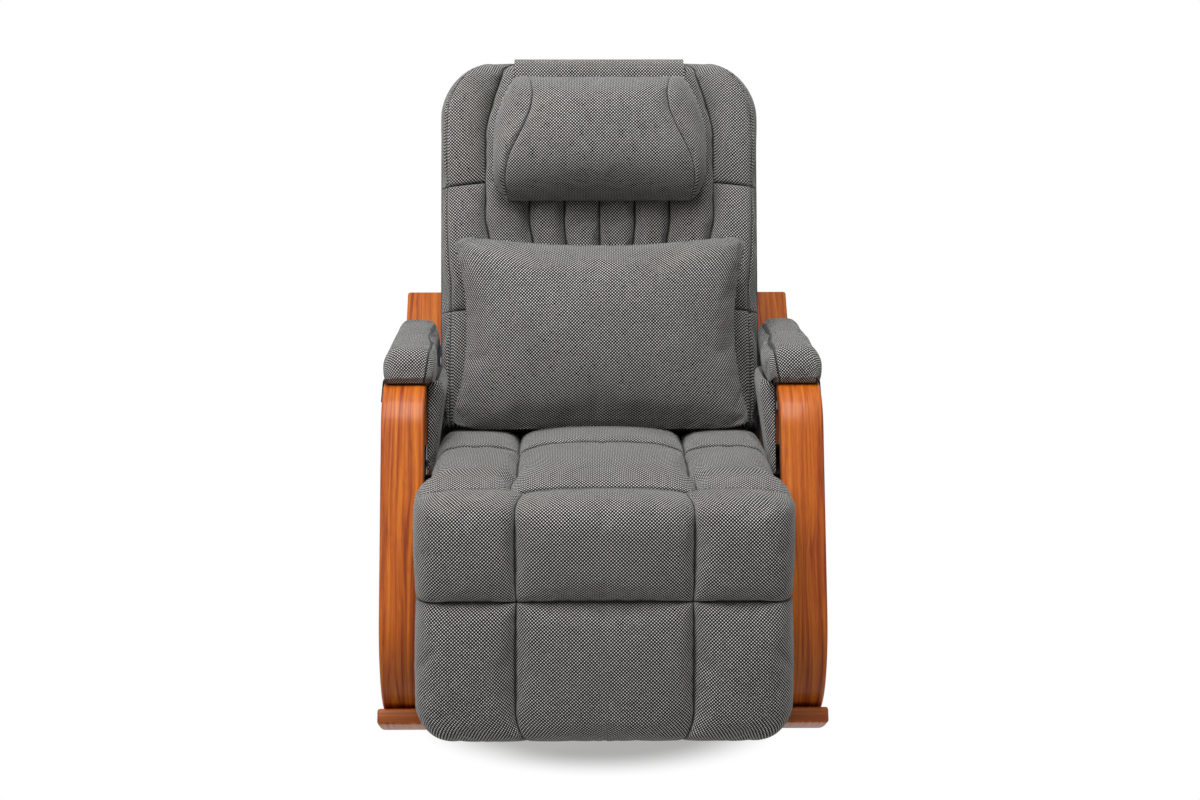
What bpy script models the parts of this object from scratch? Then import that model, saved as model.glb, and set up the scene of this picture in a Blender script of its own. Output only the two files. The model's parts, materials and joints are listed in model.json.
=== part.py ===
"""Massage rocking chair: bentwood rocker base, reclining back with a kneading carriage, folding legrest."""
from math import asin, ceil, copysign, cos, pi, radians, sin, sqrt, tan

import bmesh
import bpy
from mathutils import Euler, Matrix, Vector

# Driving dimensions in metres. The chair faces -Y and stands on z = 0.
GAP = 0.0003                 # clearance between pieces that touch
SLIP = 0.0003                # radial clearance of a turning or sliding fit

# Bentwood sides
BOW_INNER = 0.2715           # half the clear width between the two arm bows
BOW_WIDTH = 0.066
BOW_THICK = 0.026
ARM_TOP = 0.574              # upper face of the level arm run
ARM_FRONT = -0.300           # where the arm run would meet the front leg, without its bend
ARM_BEND = 0.075
KICK_FOOT = 0.225            # where the arm run turns up behind the back
KICK_RUN = 0.080
KICK_RISE = 0.076
KICK_BEND = 0.090
FRONT_LEAN = radians(19.2)   # the legs lean out towards their feet
FOOT_BEND = 0.130
FRONT_FOOT_END = -0.150
REAR_LEG_TOP = 0.105
REAR_LEG_TOP_END = -0.030
REAR_LEAN = radians(19.2)
REAR_FOOT_BEND = 0.110
REAR_FOOT_END = 0.030
WOOD_EDGE = 0.003

# Rockers
ROCKER_REST_Y = -0.112       # the point that touches the floor, under the centre of mass
ROCKER_FRONT_CURVE = 0.620   # radius of the underside in front of the rest point
ROCKER_REAR_CURVE = 1.400    # and behind it
ROCKER_FLAT = 0.060          # flat land in the middle that the chair rests on
ROCKER_FRONT = -0.405
ROCKER_REAR = 0.555
ROCKER_WIDTH = 0.080
ROCKER_THICK = 0.024
ROCKER_EDGE = 0.005

# Side rails, steel side plates and their bolts
RAIL_THICK = 0.028
RAIL_HEIGHT = 0.060
RAIL_TOP = 0.510
PLATE_THICK = 0.004
PLATE_FRONT = -0.290
PLATE_REAR = 0.045
PLATE_BOTTOM = 0.365
BOLT_FRONT_Y = -0.262
BOLT_REAR_Y = 0.020
BOLT_Z = 0.488
BOLT_SHANK = 0.0040
BOLT_HEAD = 0.0105
BOLT_HEAD_HIGH = 0.0045
BOLT_CROWN = 0.0079          # the head narrows to this above its rim
BOLT_RIM_HIGH = 0.0027
BOLT_NUT = 0.0075
BOLT_NUT_HIGH = 0.0065
STRETCHER_DEEP = 0.060
STRETCHER_THICK = 0.022

# Seat
SEAT_HALF = 0.266
SEAT_FRONT = -0.454
SEAT_REAR = -0.112
SEAT_BOARD_THICK = 0.012
SEAT_BOARD_HALF = 0.252
SEAT_BOARD_TOP = 0.414
SEAT_HIGH = 0.050            # cushion height at the seams
SEAT_CROWN = 0.024
SEAT_ROW_SEAM = -0.262       # seam between the rear row and the front roll
COLUMN_SEAM = 0.130          # the two seams that run down the seat and the legrest
SIDE_COLUMN_CROWN = 0.6      # the outer columns rise less than the middle one
SEAM_DRAW = 0.004            # how far a row seam draws the sides in
TUBE = 0.0125
TUBE_WALL = 0.002
SIDE_BAR_X = 0.200
SIDE_BAR = 0.007             # radius of the two bars that join the cross tubes
FRONT_TUBE_Y = -0.270
REAR_TUBE_Y = -0.125

# Legrest
LEG_PIN_Y = -0.474
LEG_PIN_Z = 0.437
LEG_PIN = 0.005
LUG_THICK = 0.006
LUG_RADIUS = 0.009
LUG_BACK = 0.008             # the lugs rise from a little behind the pin
HINGE_EYE = 0.008
HINGE_WIDE = 0.030
HINGE_LEAF = 0.003
HINGE_LONG = 0.110
LEG_BOARD_THICK = 0.009
LEG_BOARD_HALF = 0.262
LEG_HALF = 0.279
LEG_TOP = 0.458
LEG_BOTTOM = 0.080
LEG_ROW_SEAM = 0.298
LEG_THICK = 0.046            # cushion thickness at the seams
LEG_CROWN = 0.016
LEG_CORNER = 0.058

# Back, measured from its pivot in its own leaning frame
PIVOT_Y = -0.060
PIVOT_Z = 0.405
BACK_LEAN = radians(14.0)
AXLE = 0.008
BACK_HALF = 0.2625
BACK_FOOT = 0.050
BACK_TOP = 0.662
BACK_CORNER = 0.088
PAD_REAR = -0.020            # plane between the front pad and the shell
PAD_THICK = 0.028            # pad thickness at the seams
PAD_CROWN = 0.013
PAD_INSET = 0.003            # the pad's edge seam lies just inside the shell's edge
BOLSTER_SEAM = 0.193         # half the width between the bowed bolster seams
BOLSTER_BOW = 1.2
BOLSTER_MID = 0.470
BOLSTER_REACH = 0.170        # the seams run straight beyond this distance from the middle of their bow
BOLSTER_SHARE = 0.72
BOLSTER_LOW_SEAM = 0.210
BOLSTER_HIGH_SEAM = 0.450
BOLSTER_FLAT = 0.35          # crown left at a bolster's cross seams
CHANNEL_PITCH = 0.059
SHELL_DEEP = 0.104
CAVITY_DEEP = 0.084
SHELL_TOP_WALL = 0.040       # foam above the drive's cavity
UPRIGHT = 0.010
UPRIGHT_X = 0.205
UPRIGHT_Y = 0.034
SLEEVE = 0.014
SLEEVE_WIDE = 0.032
BAR_HIGH = 0.010
BAR_DEEP = 0.024
LOWER_BAR = 0.092
UPPER_BAR_DROP = 0.024       # from the cavity's top to the bar's lower face
RATCHET = 0.032
RATCHET_WIDE = 0.020

# Massage carriage
RAIL_Y = 0.041               # depth of the guide rods and the lead screw
ROD = 0.006
ROD_X = 0.085
SCREW = 0.007
JOURNAL = 0.004
MOTOR = 0.020
MOTOR_LONG = 0.062
CARRIAGE_FOOT = 0.205        # at its lowest stop
CARRIAGE_HIGH = 0.080
CARRIAGE_HALF = 0.110
CARRIAGE_DEEP = 0.022
GEARBOX_HALF = 0.098
GEARBOX_DEEP = 0.022
GEARBOX_EDGE = 0.003
KNEAD_MOTOR = 0.0105
KNEAD_MOTOR_LONG = 0.068
KNEAD_X = 0.060
KNEAD_ARM = 0.034
KNEAD_HUB = 0.014
ROLLER = 0.015
HEAD_DEEP = 0.022            # from the gearbox to the front of the rollers
HUB_DEEP = 0.011
ARM_REAR = 0.0066            # the arm's two faces and the rollers' rear, from the gearbox
ARM_FACE = 0.0132
ROLLER_REAR = 0.0044

# Loose and trim upholstery
PILLOW_HALF = 0.1735
PILLOW_DROP = 0.020          # from the back's top to the pillow's top
PILLOW_HIGH = 0.205
PILLOW_THICK = 0.082
STRAP_HALF = 0.139
STRAP_THICK = 0.0035
STRAP_FRONT_LONG = 0.060
STRAP_REAR_LONG = 0.090
STRAP_BEND = 0.020
PILLOW_DRAW = 0.010          # the ends of the head pillow curve in at top and bottom
LUMBAR_HALF = 0.236
LUMBAR_FOOT = 0.060
LUMBAR_HIGH = 0.300
LUMBAR_THICK = 0.112
LUMBAR_DRAW = 0.020          # how far the middle of each side draws in
LUMBAR_END_DRAW = 0.008
LUMBAR_EDGE = 0.006
ARM_PAD_LAP = 0.017          # overhang past the bow's inner side
ARM_PAD_OUTER_LAP = 0.005
ARM_PAD_FRONT = -0.285
ARM_PAD_REAR = 0.070
ARM_PAD_HIGH = 0.051
ARM_PAD_PASS_LAP = 0.005     # inner overhang where the pad passes the back
PASS_START = -0.170
PASS_END = -0.095
PANEL_THICK = 0.021
PANEL_EDGE = 0.007
PANEL_FOOT = 0.472
PANEL_FRONT = -0.262
PANEL_FRONT_TOP = -0.245
PANEL_REAR = -0.118
PANEL_REAR_TOP = -0.092
FLAP_THICK = 0.0025
FLAP_HIGH = 0.038
FLAP_FRONT = -0.245
FLAP_REAR = -0.135

# Power supply under the seat
BOX_HALF = 0.105
BOX_FRONT = -0.200
BOX_REAR = -0.085
BOX_HIGH = 0.072
BOX_EDGE = 0.004
INLET_HALF = 0.030
INLET_DEEP = 0.014
INLET_HIGH = 0.030
SWITCH_HALF = 0.009
SWITCH_HIGH = 0.007
SWITCH_DEEP = 0.007
SWITCH_ROOM = 0.0012         # space that the switch rocks in
SOCKET_OUTER = 0.024
SOCKET_INNER = 0.003

# Shapes of sewn panels and round cushion edges
SWELL_POWER = 2.4
SWELL_ROUND = 0.6
RIM_ROUND = 1 / 3
FLAT_RIM = 10
SHELL_RIM = 10
PILLOW_RIM = 7
ROLL_RIM = 3
ARM_END_RIM = 12
KNIFE_ROUND = 0.55

# Values that follow from the driving dimensions
BOW_OUTER = BOW_INNER + BOW_WIDTH
ARM_MID = ARM_TOP - BOW_THICK / 2
REAR_LEG_MID = ARM_MID - BOW_THICK - GAP
FOOT_RISE = ROCKER_THICK + GAP + BOW_THICK / 2
RAIL_FACE = BOW_OUTER - RAIL_THICK
PLATE_INNER = RAIL_FACE - GAP - PLATE_THICK
SEAT_BASE = SEAT_BOARD_TOP + GAP
TUBE_Z = SEAT_BOARD_TOP - SEAT_BOARD_THICK - GAP - TUBE
LEG_BOARD_REAR = LEG_PIN_Y - HINGE_EYE - GAP
LEG_BASE = LEG_BOARD_REAR - LEG_BOARD_THICK - GAP
CAVITY_HALF = UPRIGHT_X + UPRIGHT + GAP
CAVITY_TOP = BACK_TOP - SHELL_TOP_WALL
UPPER_BAR = CAVITY_TOP - UPPER_BAR_DROP
PILLOW_FOOT = BACK_TOP - PILLOW_DROP - PILLOW_HIGH
ARM_PAD_INNER = BOW_INNER - ARM_PAD_LAP
ARM_PAD_PASS = BOW_INNER - ARM_PAD_PASS_LAP
ARM_PAD_OUTER = BOW_OUTER + ARM_PAD_OUTER_LAP
BEND_STEP = radians(12)
ROCKER_STEP = 0.03

# Stands a flat outline up: its points are (y, z), and its depth runs along X
SIDEWAYS = Euler((pi / 2, 0, pi / 2)).to_matrix().to_4x4()

for old in list(bpy.data.objects):
    bpy.data.objects.remove(old, do_unlink=True)
CHAIR = bpy.data.collections.new("massage_rocking_chair")
bpy.context.scene.collection.children.link(CHAIR)


def make_look(name, colour, roughness, metallic=0.0):
    look = bpy.data.materials.new(name)
    look.use_nodes = True
    shader = look.node_tree.nodes["Principled BSDF"]
    shader.inputs["Base Color"].default_value = (*colour, 1.0)
    shader.inputs["Roughness"].default_value = roughness
    shader.inputs["Metallic"].default_value = metallic
    look.diffuse_color = (*colour, 1.0)
    return look


FABRIC = make_look("grey_basket_weave", (0.125, 0.122, 0.116), 0.95)
LINING = make_look("black_lining", (0.012, 0.011, 0.013), 0.9)
WOOD = make_look("lacquered_bentwood", (0.40, 0.13, 0.035), 0.28)
PLYWOOD = make_look("plywood", (0.52, 0.37, 0.21), 0.7)
BLACK_STEEL = make_look("black_coated_steel", (0.02, 0.02, 0.021), 0.45, 0.4)
BRIGHT_STEEL = make_look("bright_steel", (0.56, 0.57, 0.58), 0.3, 1.0)
PLASTIC = make_look("black_plastic", (0.018, 0.018, 0.019), 0.5)
RUBBER = make_look("grey_rubber", (0.09, 0.09, 0.095), 0.75)


def add_mesh(name, mesh, look, parent=None):
    mesh.name = name
    mesh.materials.clear()
    mesh.materials.append(look)
    obj = bpy.data.objects.new(name, mesh)
    obj.parent = parent
    CHAIR.objects.link(obj)
    return obj


def pivot(name, place, lean=0.0):
    """An empty on a joint's axis, which its moving pieces hang from."""
    empty = bpy.data.objects.new(name, None)
    empty.location = place
    empty.rotation_euler.x = -lean
    CHAIR.objects.link(empty)
    return empty


def round_edges(obj, width, segments=1):
    bevel = obj.modifiers.new("rounded edges", "BEVEL")
    bevel.width = width
    bevel.segments = segments
    bevel.limit_method = "ANGLE"
    bevel.angle_limit = radians(50)
    return obj


def shade_round(obj):
    obj.data.shade_smooth()
    obj.data.set_sharp_from_angle(angle=radians(40))
    return obj


def box(name, x, y, z, look, parent=None, edge=0.0):
    """A block between its x, y and z limits."""
    size = [high - low for low, high in (x, y, z)]
    middle = [(high + low) / 2 for low, high in (x, y, z)]
    mesh = bpy.data.meshes.new(name)
    bm = bmesh.new()
    bmesh.ops.create_cube(bm, matrix=Matrix.Translation(middle) @ Matrix.Diagonal((*size, 1.0)))
    bm.to_mesh(mesh)
    bm.free()
    obj = add_mesh(name, mesh, look, parent)
    return round_edges(obj, edge) if edge else obj


def cylinder(name, start, end, radius, look, parent=None, sides=20):
    """A round bar between two points."""
    axis = Vector(end) - Vector(start)
    turn = axis.to_track_quat("Z", "Y").to_matrix().to_4x4()
    place = Matrix.Translation((Vector(start) + Vector(end)) / 2) @ turn
    mesh = bpy.data.meshes.new(name)
    bm = bmesh.new()
    bmesh.ops.create_cone(bm, cap_ends=True, segments=sides, radius1=radius, radius2=radius,
                          depth=axis.length, matrix=place)
    bm.to_mesh(mesh)
    bm.free()
    return shade_round(add_mesh(name, mesh, look, parent))


def turned(name, profile, place, along, look, parent=None, sides=20):
    """A turned piece: (radius, height) points, top to bottom, spun about the direction it lies along."""
    mesh = bpy.data.meshes.new(name)
    bm = bmesh.new()
    points = [(0.0, profile[0][1]), *profile, (0.0, profile[-1][1])]
    verts = [bm.verts.new((radius, 0.0, height)) for radius, height in points]
    for first, second in zip(verts, verts[1:]):
        bm.edges.new((first, second))
    bm.to_mesh(mesh)
    bm.free()
    obj = add_mesh(name, mesh, look, parent)
    screw = obj.modifiers.new("turned", "SCREW")
    screw.steps = sides
    screw.render_steps = sides
    screw.use_merge_vertices = True
    screw.merge_threshold = 0.0001
    obj.location = place
    obj.rotation_mode = "QUATERNION"
    obj.rotation_quaternion = Vector(along).to_track_quat("Z", "Y")
    return obj


def mesh_of(curve, place):
    """The welded mesh of a curve, in its place."""
    guide = bpy.data.objects.new("guide", curve)
    CHAIR.objects.link(guide)
    bpy.context.view_layer.update()
    mesh = bpy.data.meshes.new_from_object(guide.evaluated_get(bpy.context.evaluated_depsgraph_get()))
    bm = bmesh.new()
    bm.from_mesh(mesh)
    bmesh.ops.remove_doubles(bm, verts=bm.verts, dist=1e-6)
    bmesh.ops.transform(bm, matrix=place, verts=bm.verts)
    bmesh.ops.recalc_face_normals(bm, faces=bm.faces)
    bm.to_mesh(mesh)
    bm.free()
    bpy.data.objects.remove(guide)
    return mesh


def plate(name, outline, low, high, look, parent=None, edge=0.0):
    """A flat (y, z) outline, extruded along X from low to high."""
    curve = bpy.data.curves.new(name, "CURVE")
    curve.dimensions = "2D"
    curve.fill_mode = "BOTH"
    curve.extrude = (high - low) / 2
    spline = curve.splines.new("POLY")
    spline.points.add(len(outline) - 1)
    for point, (across, up) in zip(spline.points, outline):
        point.co = (across, up, 0.0, 1.0)
    spline.use_cyclic_u = True
    place = SIDEWAYS @ Matrix.Translation((0, 0, (low + high) / 2))
    obj = add_mesh(name, mesh_of(curve, place), look, parent)
    return round_edges(obj, edge) if edge else obj


def tube(name, points, radius, look, parent=None):
    """A bent round tube through the points."""
    curve = bpy.data.curves.new(name, "CURVE")
    curve.dimensions = "3D"
    curve.bevel_depth = radius
    curve.bevel_resolution = 2
    curve.use_fill_caps = True
    spline = curve.splines.new("POLY")
    spline.points.add(len(points) - 1)
    for point, place in zip(spline.points, points):
        point.co = (*place, 1.0)
    return shade_round(add_mesh(name, mesh_of(curve, Matrix.Identity(4)), look, parent))


def combine(obj, tools, operation):
    """Join the tools to the object, or cut them out of it. The tools are used up."""
    for tool in tools:
        change = obj.modifiers.new(operation, "BOOLEAN")
        change.operation = operation
        change.object = tool
    bpy.context.view_layer.update()
    mesh = bpy.data.meshes.new_from_object(obj.evaluated_get(bpy.context.evaluated_depsgraph_get()))
    obj.modifiers.clear()
    mesh.name = obj.name
    obj.data = mesh
    for tool in tools:
        bpy.data.objects.remove(tool)
    return obj


def swing(middle, start, end, step=BEND_STEP):
    """Points on the arc about the middle from start to end, the short way round."""
    arm = start - middle
    goal = end - middle
    turn = arm.angle_signed(goal)
    count = max(2, ceil(abs(turn) / step))
    return [middle + Matrix.Rotation(-turn * i / count, 2) @ arm for i in range(count + 1)]


def rounded(corners, radii):
    """A line through the corners, with an arc of its radius at each inner corner."""
    corners = [Vector(corner) for corner in corners]
    path = [corners[0]]
    for before, corner, after, radius in zip(corners, corners[1:], corners[2:], radii):
        back = (before - corner).normalized()
        ahead = (after - corner).normalized()
        half = back.angle(ahead) / 2
        reach = radius / tan(half)
        middle = corner + (back + ahead).normalized() * (radius / sin(half))
        path += swing(middle, corner + back * reach, corner + ahead * reach)
    return path + [corners[-1]]


def strip(path, thickness):
    """The closed outline of a strip that follows the path, half its thickness to each side."""
    left = []
    right = []
    for i, point in enumerate(path):
        behind = (point - path[i - 1]).normalized() if i else (path[1] - point).normalized()
        ahead = (path[i + 1] - point).normalized() if i + 1 < len(path) else behind
        along = (behind + ahead).normalized()
        side = Vector((-along.y, along.x)) * (thickness / 2 / along.dot(ahead))
        left.append(point + side)
        right.append(point - side)
    return left + right[::-1]


def rocker_middle(curve):
    """The centre of one of the rocker's two arcs."""
    return Vector((ROCKER_REST_Y, sqrt(curve ** 2 - (ROCKER_FLAT / 2) ** 2)))


def rocker_arc(curve, rise, start, end):
    """Points at a rise above one of the rocker's arcs, between two depths."""
    radius = curve - rise
    first = asin((start - ROCKER_REST_Y) / radius)
    last = asin((end - ROCKER_REST_Y) / radius)
    count = max(1, ceil(abs(last - first) / ROCKER_STEP))
    angles = [first + (last - first) * i / count for i in range(count + 1)]
    return [rocker_middle(curve) + Vector((sin(angle), -cos(angle))) * radius for angle in angles]


def leg(corner, lean, bend, curve, foot_end):
    """A leg's centre line: down from its corner, round its bend and along the top of the rocker."""
    down = Vector((-sin(lean), -cos(lean)))
    inward = Vector((cos(lean), -sin(lean))) * copysign(1, lean)
    foot_radius = curve - FOOT_RISE
    reach = corner + inward * bend - rocker_middle(curve)
    fall = -reach.dot(down)
    fall += sqrt(fall ** 2 - reach.length_squared + (foot_radius - bend) ** 2)
    middle = corner + down * fall + inward * bend
    landing = rocker_middle(curve) + (middle - rocker_middle(curve)).normalized() * foot_radius
    foot = rocker_arc(curve, FOOT_RISE, landing.x, foot_end)
    return swing(middle, middle - inward * bend, landing)[:-1] + foot


def panel_lines(seams, count):
    """Positions along a cushion, closer together beside its seams and ends."""
    lines = [seams[0]]
    for low, high in zip(seams, seams[1:]):
        lines += [low + (high - low) * (1 - cos(pi * i / count)) / 2 for i in range(1, count + 1)]
    return lines


def swell(place, seams):
    """0 on each seam and 1 in the middle of the panel between two seams."""
    for low, high in zip(seams, seams[1:]):
        if place <= high:
            offset = abs(2 * place - low - high) / (high - low)
            return max(0.0, 1 - offset ** SWELL_POWER) ** SWELL_ROUND
    return 0.0


def rim(share, power):
    """1 over the middle of a cushion, falling to 0 at its rim in a round edge."""
    return max(0.0, 1 - abs(share) ** power) ** RIM_ROUND


def share_of(place, low, high):
    """Where a place lies between two limits, from -1 to 1."""
    return (2 * place - low - high) / (high - low)


def corner_inset(distance, radius):
    """How far a round corner draws in, at a distance past the start of its arc."""
    reach = min(max(distance, 0.0), radius)
    return radius - sqrt(radius ** 2 - reach ** 2)


def add_grid(bm, across, along, shape):
    """A grid over two lists of positions, each corner put in place by shape. Returns its rim."""
    columns = len(across) - 1
    rows = len(along) - 1
    grid = bmesh.ops.create_grid(bm, x_segments=columns, y_segments=rows, size=1.0)["verts"]
    for vert in grid:
        i = round((vert.co.x + 1) / 2 * columns)
        j = round((vert.co.y + 1) / 2 * rows)
        vert.co = shape(across[i], along[j])
    for corner in [vert for vert in grid if len(vert.link_faces) == 1]:
        face = corner.link_faces[0]
        beside = {edge.other_vert(corner) for edge in corner.link_edges} | {corner}
        opposite = next(vert for vert in face.verts if vert not in beside)
        bmesh.utils.face_split(face, corner, opposite)
    return {edge for vert in grid for edge in vert.link_edges if edge.is_boundary}


def cushion(name, across, along, front, look, parent=None, rear=None):
    """A soft body: its front is a shaped grid, and its rear is flat or a second shaped grid."""
    mesh = bpy.data.meshes.new(name)
    bm = bmesh.new()
    edges = add_grid(bm, across, along, front)
    if rear:
        edges |= add_grid(bm, across, along, rear)
        bmesh.ops.bridge_loops(bm, edges=list(edges))
    else:
        bmesh.ops.contextual_create(bm, geom=list(edges))
    bmesh.ops.recalc_face_normals(bm, faces=bm.faces)
    bm.to_mesh(mesh)
    bm.free()
    mesh.shade_smooth()
    return add_mesh(name, mesh, look, parent)


# Bentwood sides: arm bow, rear leg, rocker, rail, steel plate and bolts
front_corner = Vector((ARM_FRONT, ARM_MID))
rear_corner = Vector((REAR_LEG_TOP, REAR_LEG_MID))
front_leg = leg(front_corner, FRONT_LEAN, FOOT_BEND, ROCKER_FRONT_CURVE, FRONT_FOOT_END)
rear_leg = leg(rear_corner, -REAR_LEAN, REAR_FOOT_BEND, ROCKER_REAR_CURVE, REAR_FOOT_END)
kick_end = (KICK_FOOT + KICK_RUN, ARM_MID + KICK_RISE)
bow_path = rounded([kick_end, (KICK_FOOT, ARM_MID), front_corner, front_leg[0]], [KICK_BEND, ARM_BEND])
rear_path = rounded([(REAR_LEG_TOP_END, REAR_LEG_MID), rear_corner, rear_leg[0]], [ARM_BEND])
bow_outline = strip(bow_path[:-1] + front_leg, BOW_THICK)
rear_outline = strip(rear_path[:-1] + rear_leg, BOW_THICK)

flat_front = ROCKER_REST_Y - ROCKER_FLAT / 2
flat_rear = ROCKER_REST_Y + ROCKER_FLAT / 2
front_share = 1 - ROCKER_THICK / ROCKER_FRONT_CURVE
rear_share = 1 - ROCKER_THICK / ROCKER_REAR_CURVE
upper_front = ROCKER_REST_Y + (ROCKER_FRONT - ROCKER_REST_Y) * front_share
upper_rear = ROCKER_REST_Y + (ROCKER_REAR - ROCKER_REST_Y) * rear_share
rocker_outline = (rocker_arc(ROCKER_FRONT_CURVE, 0, ROCKER_FRONT, flat_front)
                  + rocker_arc(ROCKER_REAR_CURVE, 0, flat_rear, ROCKER_REAR)
                  + rocker_arc(ROCKER_REAR_CURVE, ROCKER_THICK, upper_rear, flat_rear)
                  + rocker_arc(ROCKER_FRONT_CURVE, ROCKER_THICK, flat_front, upper_front))
rocker_inner = (BOW_INNER + BOW_OUTER - ROCKER_WIDTH) / 2


def front_leg_face(z):
    """Depth of the front leg's rear face at a height, with clearance."""
    return ARM_FRONT - tan(FRONT_LEAN) * (ARM_MID - z) + (BOW_THICK / 2 + GAP) / cos(FRONT_LEAN)


def rear_leg_face(z):
    """Depth of the rear leg's front face at a height, with clearance."""
    return REAR_LEG_TOP + tan(REAR_LEAN) * (REAR_LEG_MID - z) - (BOW_THICK / 2 + GAP) / cos(REAR_LEAN)


rear_bend_reach = ARM_BEND * tan((pi / 2 - REAR_LEAN) / 2)
rear_bend_end = REAR_LEG_MID - rear_bend_reach * cos(REAR_LEAN) - WOOD_EDGE
rail_foot = RAIL_TOP - RAIL_HEIGHT
rail_outline = [(front_leg_face(RAIL_TOP), RAIL_TOP), (front_leg_face(rail_foot), rail_foot),
                (rear_leg_face(rail_foot), rail_foot), (rear_leg_face(rear_bend_end), rear_bend_end),
                (REAR_LEG_TOP - rear_bend_reach, RAIL_TOP)]
plate_outline = [(PLATE_FRONT, RAIL_TOP), (PLATE_FRONT, PLATE_BOTTOM), (PLATE_REAR, PLATE_BOTTOM),
                 (PLATE_REAR, RAIL_TOP)]
bolt_reach = RAIL_THICK + GAP + PLATE_THICK + GAP
bolt_profile = [(BOLT_CROWN, BOLT_HEAD_HIGH), (BOLT_HEAD, BOLT_RIM_HIGH), (BOLT_HEAD, GAP),
                (BOLT_SHANK, GAP), (BOLT_SHANK, -bolt_reach), (BOLT_NUT, -bolt_reach),
                (BOLT_NUT, -bolt_reach - BOLT_NUT_HIGH)]


def through_hole(y, z, radius, sign):
    """A cutter through one side of the chair."""
    end = (sign * (BOW_OUTER + BOW_THICK), y, z)
    return cylinder("hole", (sign * BOW_INNER, y, z), end, radius, BLACK_STEEL)


for side, sign in (("left", -1), ("right", 1)):
    bow_span = sorted((sign * BOW_INNER, sign * BOW_OUTER))
    plate(f"arm_bow_{side}", bow_outline, *bow_span, WOOD, edge=WOOD_EDGE)
    plate(f"rear_leg_{side}", rear_outline, *bow_span, WOOD, edge=WOOD_EDGE)
    rocker_span = sorted((sign * rocker_inner, sign * (rocker_inner + ROCKER_WIDTH)))
    plate(f"rocker_{side}", rocker_outline, *rocker_span, WOOD, edge=ROCKER_EDGE)
    rail = plate(f"side_rail_{side}", rail_outline, *sorted((sign * RAIL_FACE, sign * BOW_OUTER)), WOOD,
                 edge=WOOD_EDGE)
    steel = plate(f"side_plate_{side}", plate_outline,
                  *sorted((sign * PLATE_INNER, sign * (PLATE_INNER + PLATE_THICK))), BLACK_STEEL)
    holes = [through_hole(y, BOLT_Z, BOLT_SHANK + SLIP, sign) for y in (BOLT_FRONT_Y, BOLT_REAR_Y)]
    combine(rail, holes, "DIFFERENCE")
    holes = [through_hole(y, BOLT_Z, BOLT_SHANK + SLIP, sign) for y in (BOLT_FRONT_Y, BOLT_REAR_Y)]
    combine(steel, [*holes, through_hole(PIVOT_Y, PIVOT_Z, AXLE + SLIP, sign)], "DIFFERENCE")
    for place, y in (("front", BOLT_FRONT_Y), ("rear", BOLT_REAR_Y)):
        turned(f"side_bolt_{place}_{side}", bolt_profile, (sign * BOW_OUTER, y, BOLT_Z), (sign, 0, 0),
               BRIGHT_STEEL, sides=16)


def stretcher(name, curve, y):
    """A cross board between the two feet, level with their middle and sloped like them."""
    foot_radius = curve - FOOT_RISE
    slope = asin((y - ROCKER_REST_Y) / foot_radius)
    reach = BOW_INNER - GAP
    board = box(name, (-reach, reach), (-STRETCHER_DEEP / 2, STRETCHER_DEEP / 2),
                (-STRETCHER_THICK / 2, STRETCHER_THICK / 2), WOOD, edge=WOOD_EDGE)
    board.location = (0, y, rocker_middle(curve).y - foot_radius * cos(slope))
    board.rotation_euler.x = slope
    return board


stretcher("front_stretcher", ROCKER_FRONT_CURVE, FRONT_FOOT_END - STRETCHER_DEEP)
stretcher("rear_stretcher", ROCKER_REAR_CURVE, REAR_FOOT_END + STRETCHER_DEEP)

# Seat frame: two cross tubes between the side plates, and two side bars that end in the legrest's lugs
tube_reach = PLATE_INNER - GAP
lug_foot = Vector((LEG_PIN_Y + LUG_BACK, TUBE_Z))
lug_top = Vector((LEG_PIN_Y, LEG_PIN_Z))
lug_along = (lug_top - lug_foot).normalized()
lug_side = Vector((-lug_along.y, lug_along.x)) * LUG_RADIUS
lug_tip = lug_top + lug_along * LUG_RADIUS
lug_outline = (swing(lug_top, lug_top + lug_side, lug_tip)[:-1] + swing(lug_top, lug_tip, lug_top - lug_side)
               + [lug_foot - lug_side, lug_foot + lug_side])
pin_reach = SIDE_BAR_X + LUG_THICK / 2


def along_pin(radius):
    """A cutter along the legrest's hinge line."""
    start = (-BOW_INNER, LEG_PIN_Y, LEG_PIN_Z)
    return cylinder("bore", start, (BOW_INNER, LEG_PIN_Y, LEG_PIN_Z), radius, BLACK_STEEL)


def along_bar(name, x, radius):
    """A round bar from inside the rear cross tube to the lug, or a cutter for it."""
    lug_end = (x, LEG_PIN_Y + LUG_RADIUS, TUBE_Z)
    return cylinder(name, (x, REAR_TUBE_Y, TUBE_Z), lug_end, radius, BLACK_STEEL, sides=16)


for place, y in (("front", FRONT_TUBE_Y), ("rear", REAR_TUBE_Y)):
    cross = cylinder(f"seat_{place}_tube", (-tube_reach, y, TUBE_Z), (tube_reach, y, TUBE_Z), TUBE,
                     BLACK_STEEL, sides=16)
    bore = cylinder("bore", (-BOW_OUTER, y, TUBE_Z), (BOW_OUTER, y, TUBE_Z), TUBE - TUBE_WALL,
                    BLACK_STEEL, sides=16)
    holes = [along_bar("hole", x, SIDE_BAR + 2 * GAP) for x in (-SIDE_BAR_X, SIDE_BAR_X)]
    combine(cross, [bore, *holes], "DIFFERENCE")
for side, sign in (("left", -1), ("right", 1)):
    x = sign * SIDE_BAR_X
    bar = along_bar(f"seat_side_bar_{side}", x, SIDE_BAR)
    combine(bar, [plate("lug", lug_outline, x - LUG_THICK / 2, x + LUG_THICK / 2, BLACK_STEEL)], "UNION")
    combine(bar, [along_pin(LEG_PIN + SLIP)], "DIFFERENCE")
cylinder("legrest_axle", (-pin_reach, LEG_PIN_Y, LEG_PIN_Z), (pin_reach, LEG_PIN_Y, LEG_PIN_Z), LEG_PIN,
         BRIGHT_STEEL)
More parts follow.
